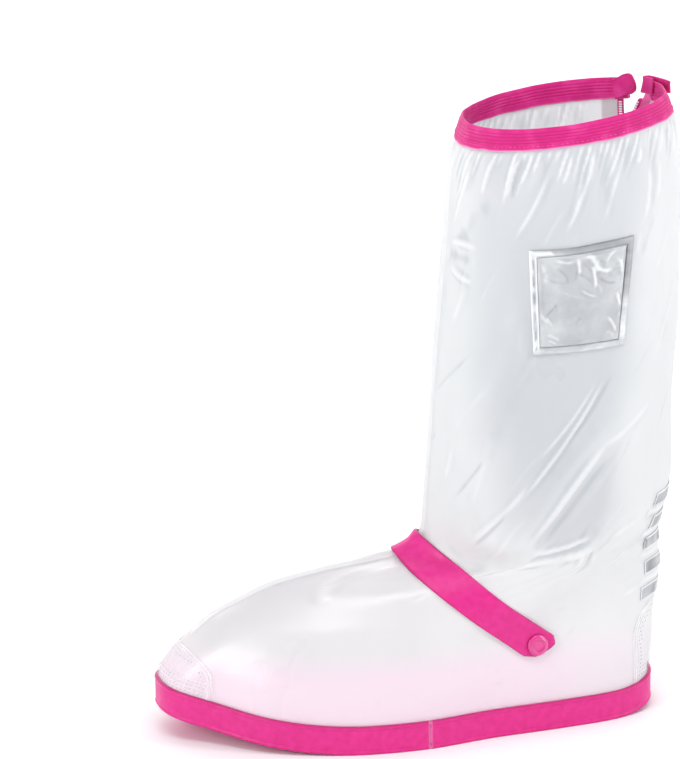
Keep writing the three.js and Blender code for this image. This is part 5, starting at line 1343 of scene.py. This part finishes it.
def add_strap():
    half = STRAP_WIDTH / 2
    offsets = np.linspace(-half, half, STRAP_LINES)
    rows = np.linspace(-1, 1, STRAP_ROWS)
    across, out, top = strip_section(half, CLEARANCE, CLEARANCE + STRAP_THICKNESS, 0.7, 14)
    grid = np.empty((len(rows), len(across), 3))
    for side in (OUTER, INNER):
        lines = [strap_line(side, offset) for offset in offsets]
        centre = strap_line(side, 0.0)
        reach = float(np.interp(-STRAP_SNAP[side][1], -centre[1], centre[2])) + STRAP_END
        chosen = rows < 0 if side == OUTER else rows >= 0
        for j, value in enumerate(across):
            cut = STRAP_CHAMFER * smooth((abs(value) / half - 0.6) / 0.4)
            length = np.abs(rows[chosen]) * (reach - cut)
            k = np.clip(np.searchsorted(offsets, value) - 1, 0, len(offsets) - 2)
            t = (value - offsets[k]) / (offsets[k + 1] - offsets[k])
            share, height = ((1 - t) * np.interp(length, lines[k][2], lines[k][n])
                             + t * np.interp(length, lines[k + 1][2], lines[k + 1][n]) for n in (0, 1))
            lift = (SEAM_FIN + CLEARANCE) * bell(length / 9)
            grid[chosen, j] = skin(side, share, height, out[j] + lift)
    taut = grid.copy()
    for _ in range(TAUT_PASSES):
        taut[1:-1] = (taut[:-2] + taut[2:] + 2 * taut[1:-1]) / 4
    share = TAUT_SHARE * smooth((np.abs(rows) - 0.22) / 0.12) * smooth((1 - np.abs(rows)) / 0.15)
    grid += share[:, None, None] * (taut - grid)
    # groove: painted shade along the strap's rounded edges
    tube("strap_band", grid, RUBBER, "instep_strap", pairs(run_along(grid[:, 10])[:, None], across),
         {"groove": 0.8 * smooth((np.abs(across) - half + 0.8) / 0.6)})


# Outline of a snap's cap from its axis to its top: share of the radius, share of the height, painted shade
SNAP_PROFILE = np.array([
    (0.7, 0.0, 0.8), (0.96, 0.05, 0.8), (1.0, 0.23, 0.7), (0.992, 0.45, 0.3), (0.954, 0.57, 0.0),
    (0.8, 0.85, 0.0), (0.68, 0.98, 0.0), (0.63, 1.0, 0.1), (0.585, 0.89, 0.4), (0.555, 0.82, 0.5),
    (0.3, 0.84, 0.0),
])


def add_snap(which, toward):
    """Domed cap with a rolled rim, in the place and direction of the cap it stands for."""
    node = f"strap_snap_{which}"
    points = np.array([v.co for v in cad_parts[node].data.vertices]) * 1000
    centre = points.mean(0)
    axis = np.linalg.svd(points - centre)[2][2]
    axis *= np.sign(axis[1] * toward)
    seat = centre + axis * ((points - centre) @ axis).min()
    flat = unit(np.cross(axis, [0, 0, 1.0]))
    angle = np.linspace(0, 2 * np.pi, 48, endpoint=False)[:, None]
    ring = flat * np.cos(angle) + np.cross(axis, flat) * np.sin(angle)
    radius, height, dark = (SNAP_PROFILE * [SNAP_DIAMETER / 2, SNAP_HEIGHT, 1]).T[:, :, None]
    grid = seat + ring * radius[..., None] + axis * height[..., None]
    # Painted shade round the cap's foot and in the ring inside its rim
    tube(f"snap_cap_{which}", grid, CAP, node, marks={"groove": dark})


add_strap()
add_snap("outer", OUTER)
add_snap("inner", INNER)


# Studio: pale floor, soft light and the camera

def add_floor():
    mesh = bpy.data.meshes.new("floor")
    mesh.from_pydata([(-9, -9, 0), (9, -9, 0), (9, 9, 0), (-9, 9, 0)], [], [(0, 1, 2, 3)])
    g = Graph("pale floor", (0.95, 0.95, 0.95))
    mesh.materials.append(g.finish(g.node("BsdfDiffuse", {"Color": (0.97, 0.97, 0.97, 1)}).outputs[0]))
    floor = bpy.data.objects.new("floor", mesh)
    bpy.context.scene.collection.objects.link(floor)


def add_light(name, place, aim, size, power):
    data = bpy.data.lights.new(name, "AREA")
    data.shape = "RECTANGLE"
    data.size, data.size_y = size
    data.energy = power
    light = bpy.data.objects.new(name, data)
    light.location = place
    light.rotation_euler = (Vector(aim) - Vector(place)).to_track_quat("-Z", "Y").to_euler()
    bpy.context.scene.collection.objects.link(light)


def add_camera(azimuth, elevation, roll, target, distance, focal_pixels, picture_height, sensor=36):
    """Camera that sees the cover as the photograph does. Angles in degrees, lengths in metres."""
    azimuth, elevation, roll = (math.radians(angle) for angle in (azimuth, elevation, roll))
    toward = Vector((-math.sin(azimuth) * math.cos(elevation), -math.cos(azimuth) * math.cos(elevation),
                     math.sin(elevation)))
    flat = Vector((math.cos(azimuth), -math.sin(azimuth), 0))
    up = flat.cross(-toward)
    right = flat * math.cos(roll) + up * math.sin(roll)
    above = up * math.cos(roll) - flat * math.sin(roll)
    data = bpy.data.cameras.new("camera")
    data.sensor_width, data.lens = sensor, focal_pixels * sensor / picture_height
    data.clip_end = 60
    camera = bpy.data.objects.new("camera", data)
    turn = Matrix((right, above, toward)).transposed()
    camera.matrix_world = Matrix.Translation(Vector(target) + toward * distance) @ turn.to_4x4()
    bpy.context.scene.collection.objects.link(camera)
    bpy.context.scene.camera = camera


def set_world(camera_side, strength):
    """Soft white surround, dimmer on the camera's side, so that the film's edges are its lightest part."""
    world = bpy.data.worlds.new("studio")
    world.use_nodes = True
    tree = world.node_tree
    direction, facing, share, ramp = (tree.nodes.new("ShaderNode" + kind)
                                      for kind in ("TexCoord", "VectorMath", "Math", "ValToRGB"))
    background = tree.nodes["Background"]
    facing.operation, share.operation = "DOT_PRODUCT", "MULTIPLY_ADD"
    facing.inputs[1].default_value = camera_side
    share.inputs[1].default_value = share.inputs[2].default_value = 0.5
    elements = ramp.color_ramp.elements
    elements[0].position, elements[0].color = 0.05, (1, 1, 1, 1)
    elements[1].position, elements[1].color = 0.3, (0.72, 0.735, 0.75, 1)
    elements.new(0.95).color = 0.44, 0.46, 0.48, 1
    tree.links.new(direction.outputs["Generated"], facing.inputs[0])
    tree.links.new(facing.outputs["Value"], share.inputs[0])
    tree.links.new(share.outputs["Value"], ramp.inputs["Fac"])
    tree.links.new(ramp.outputs["Color"], background.inputs["Color"])
    background.inputs["Strength"].default_value = strength
    scene = bpy.context.scene
    scene.world = world
    scene.view_settings.view_transform = "Standard"
    scene.view_settings.look = "None"


# Name, place, aim, size, watts
LIGHTS = [
    ("left strip", (-2.3, -1.3, 1.1), (0, 0, 0.2), (0.6, 1.8), 27),
    ("right strip", (2.2, -1.2, 1.0), (0.05, 0, 0.2), (0.4, 1.8), 22),
    ("top strip", (-0.3, -1.2, 2.6), (0, 0, 0.2), (1.8, 0.5), 20),
    ("backdrop light", (0.2, 2.8, 2.0), (0.2, 2.8, 0), (4.0, 1.2), 60),
]

add_floor()
for light_row in LIGHTS:
    add_light(*light_row)
add_camera(azimuth=12.5, elevation=16.87, roll=-0.81, target=(-0.0384, 0, 0.2146), distance=2.8,
           focal_pixels=4772, picture_height=759)
set_world(camera_side=(-0.21, -0.95, 0.2), strength=1.11)
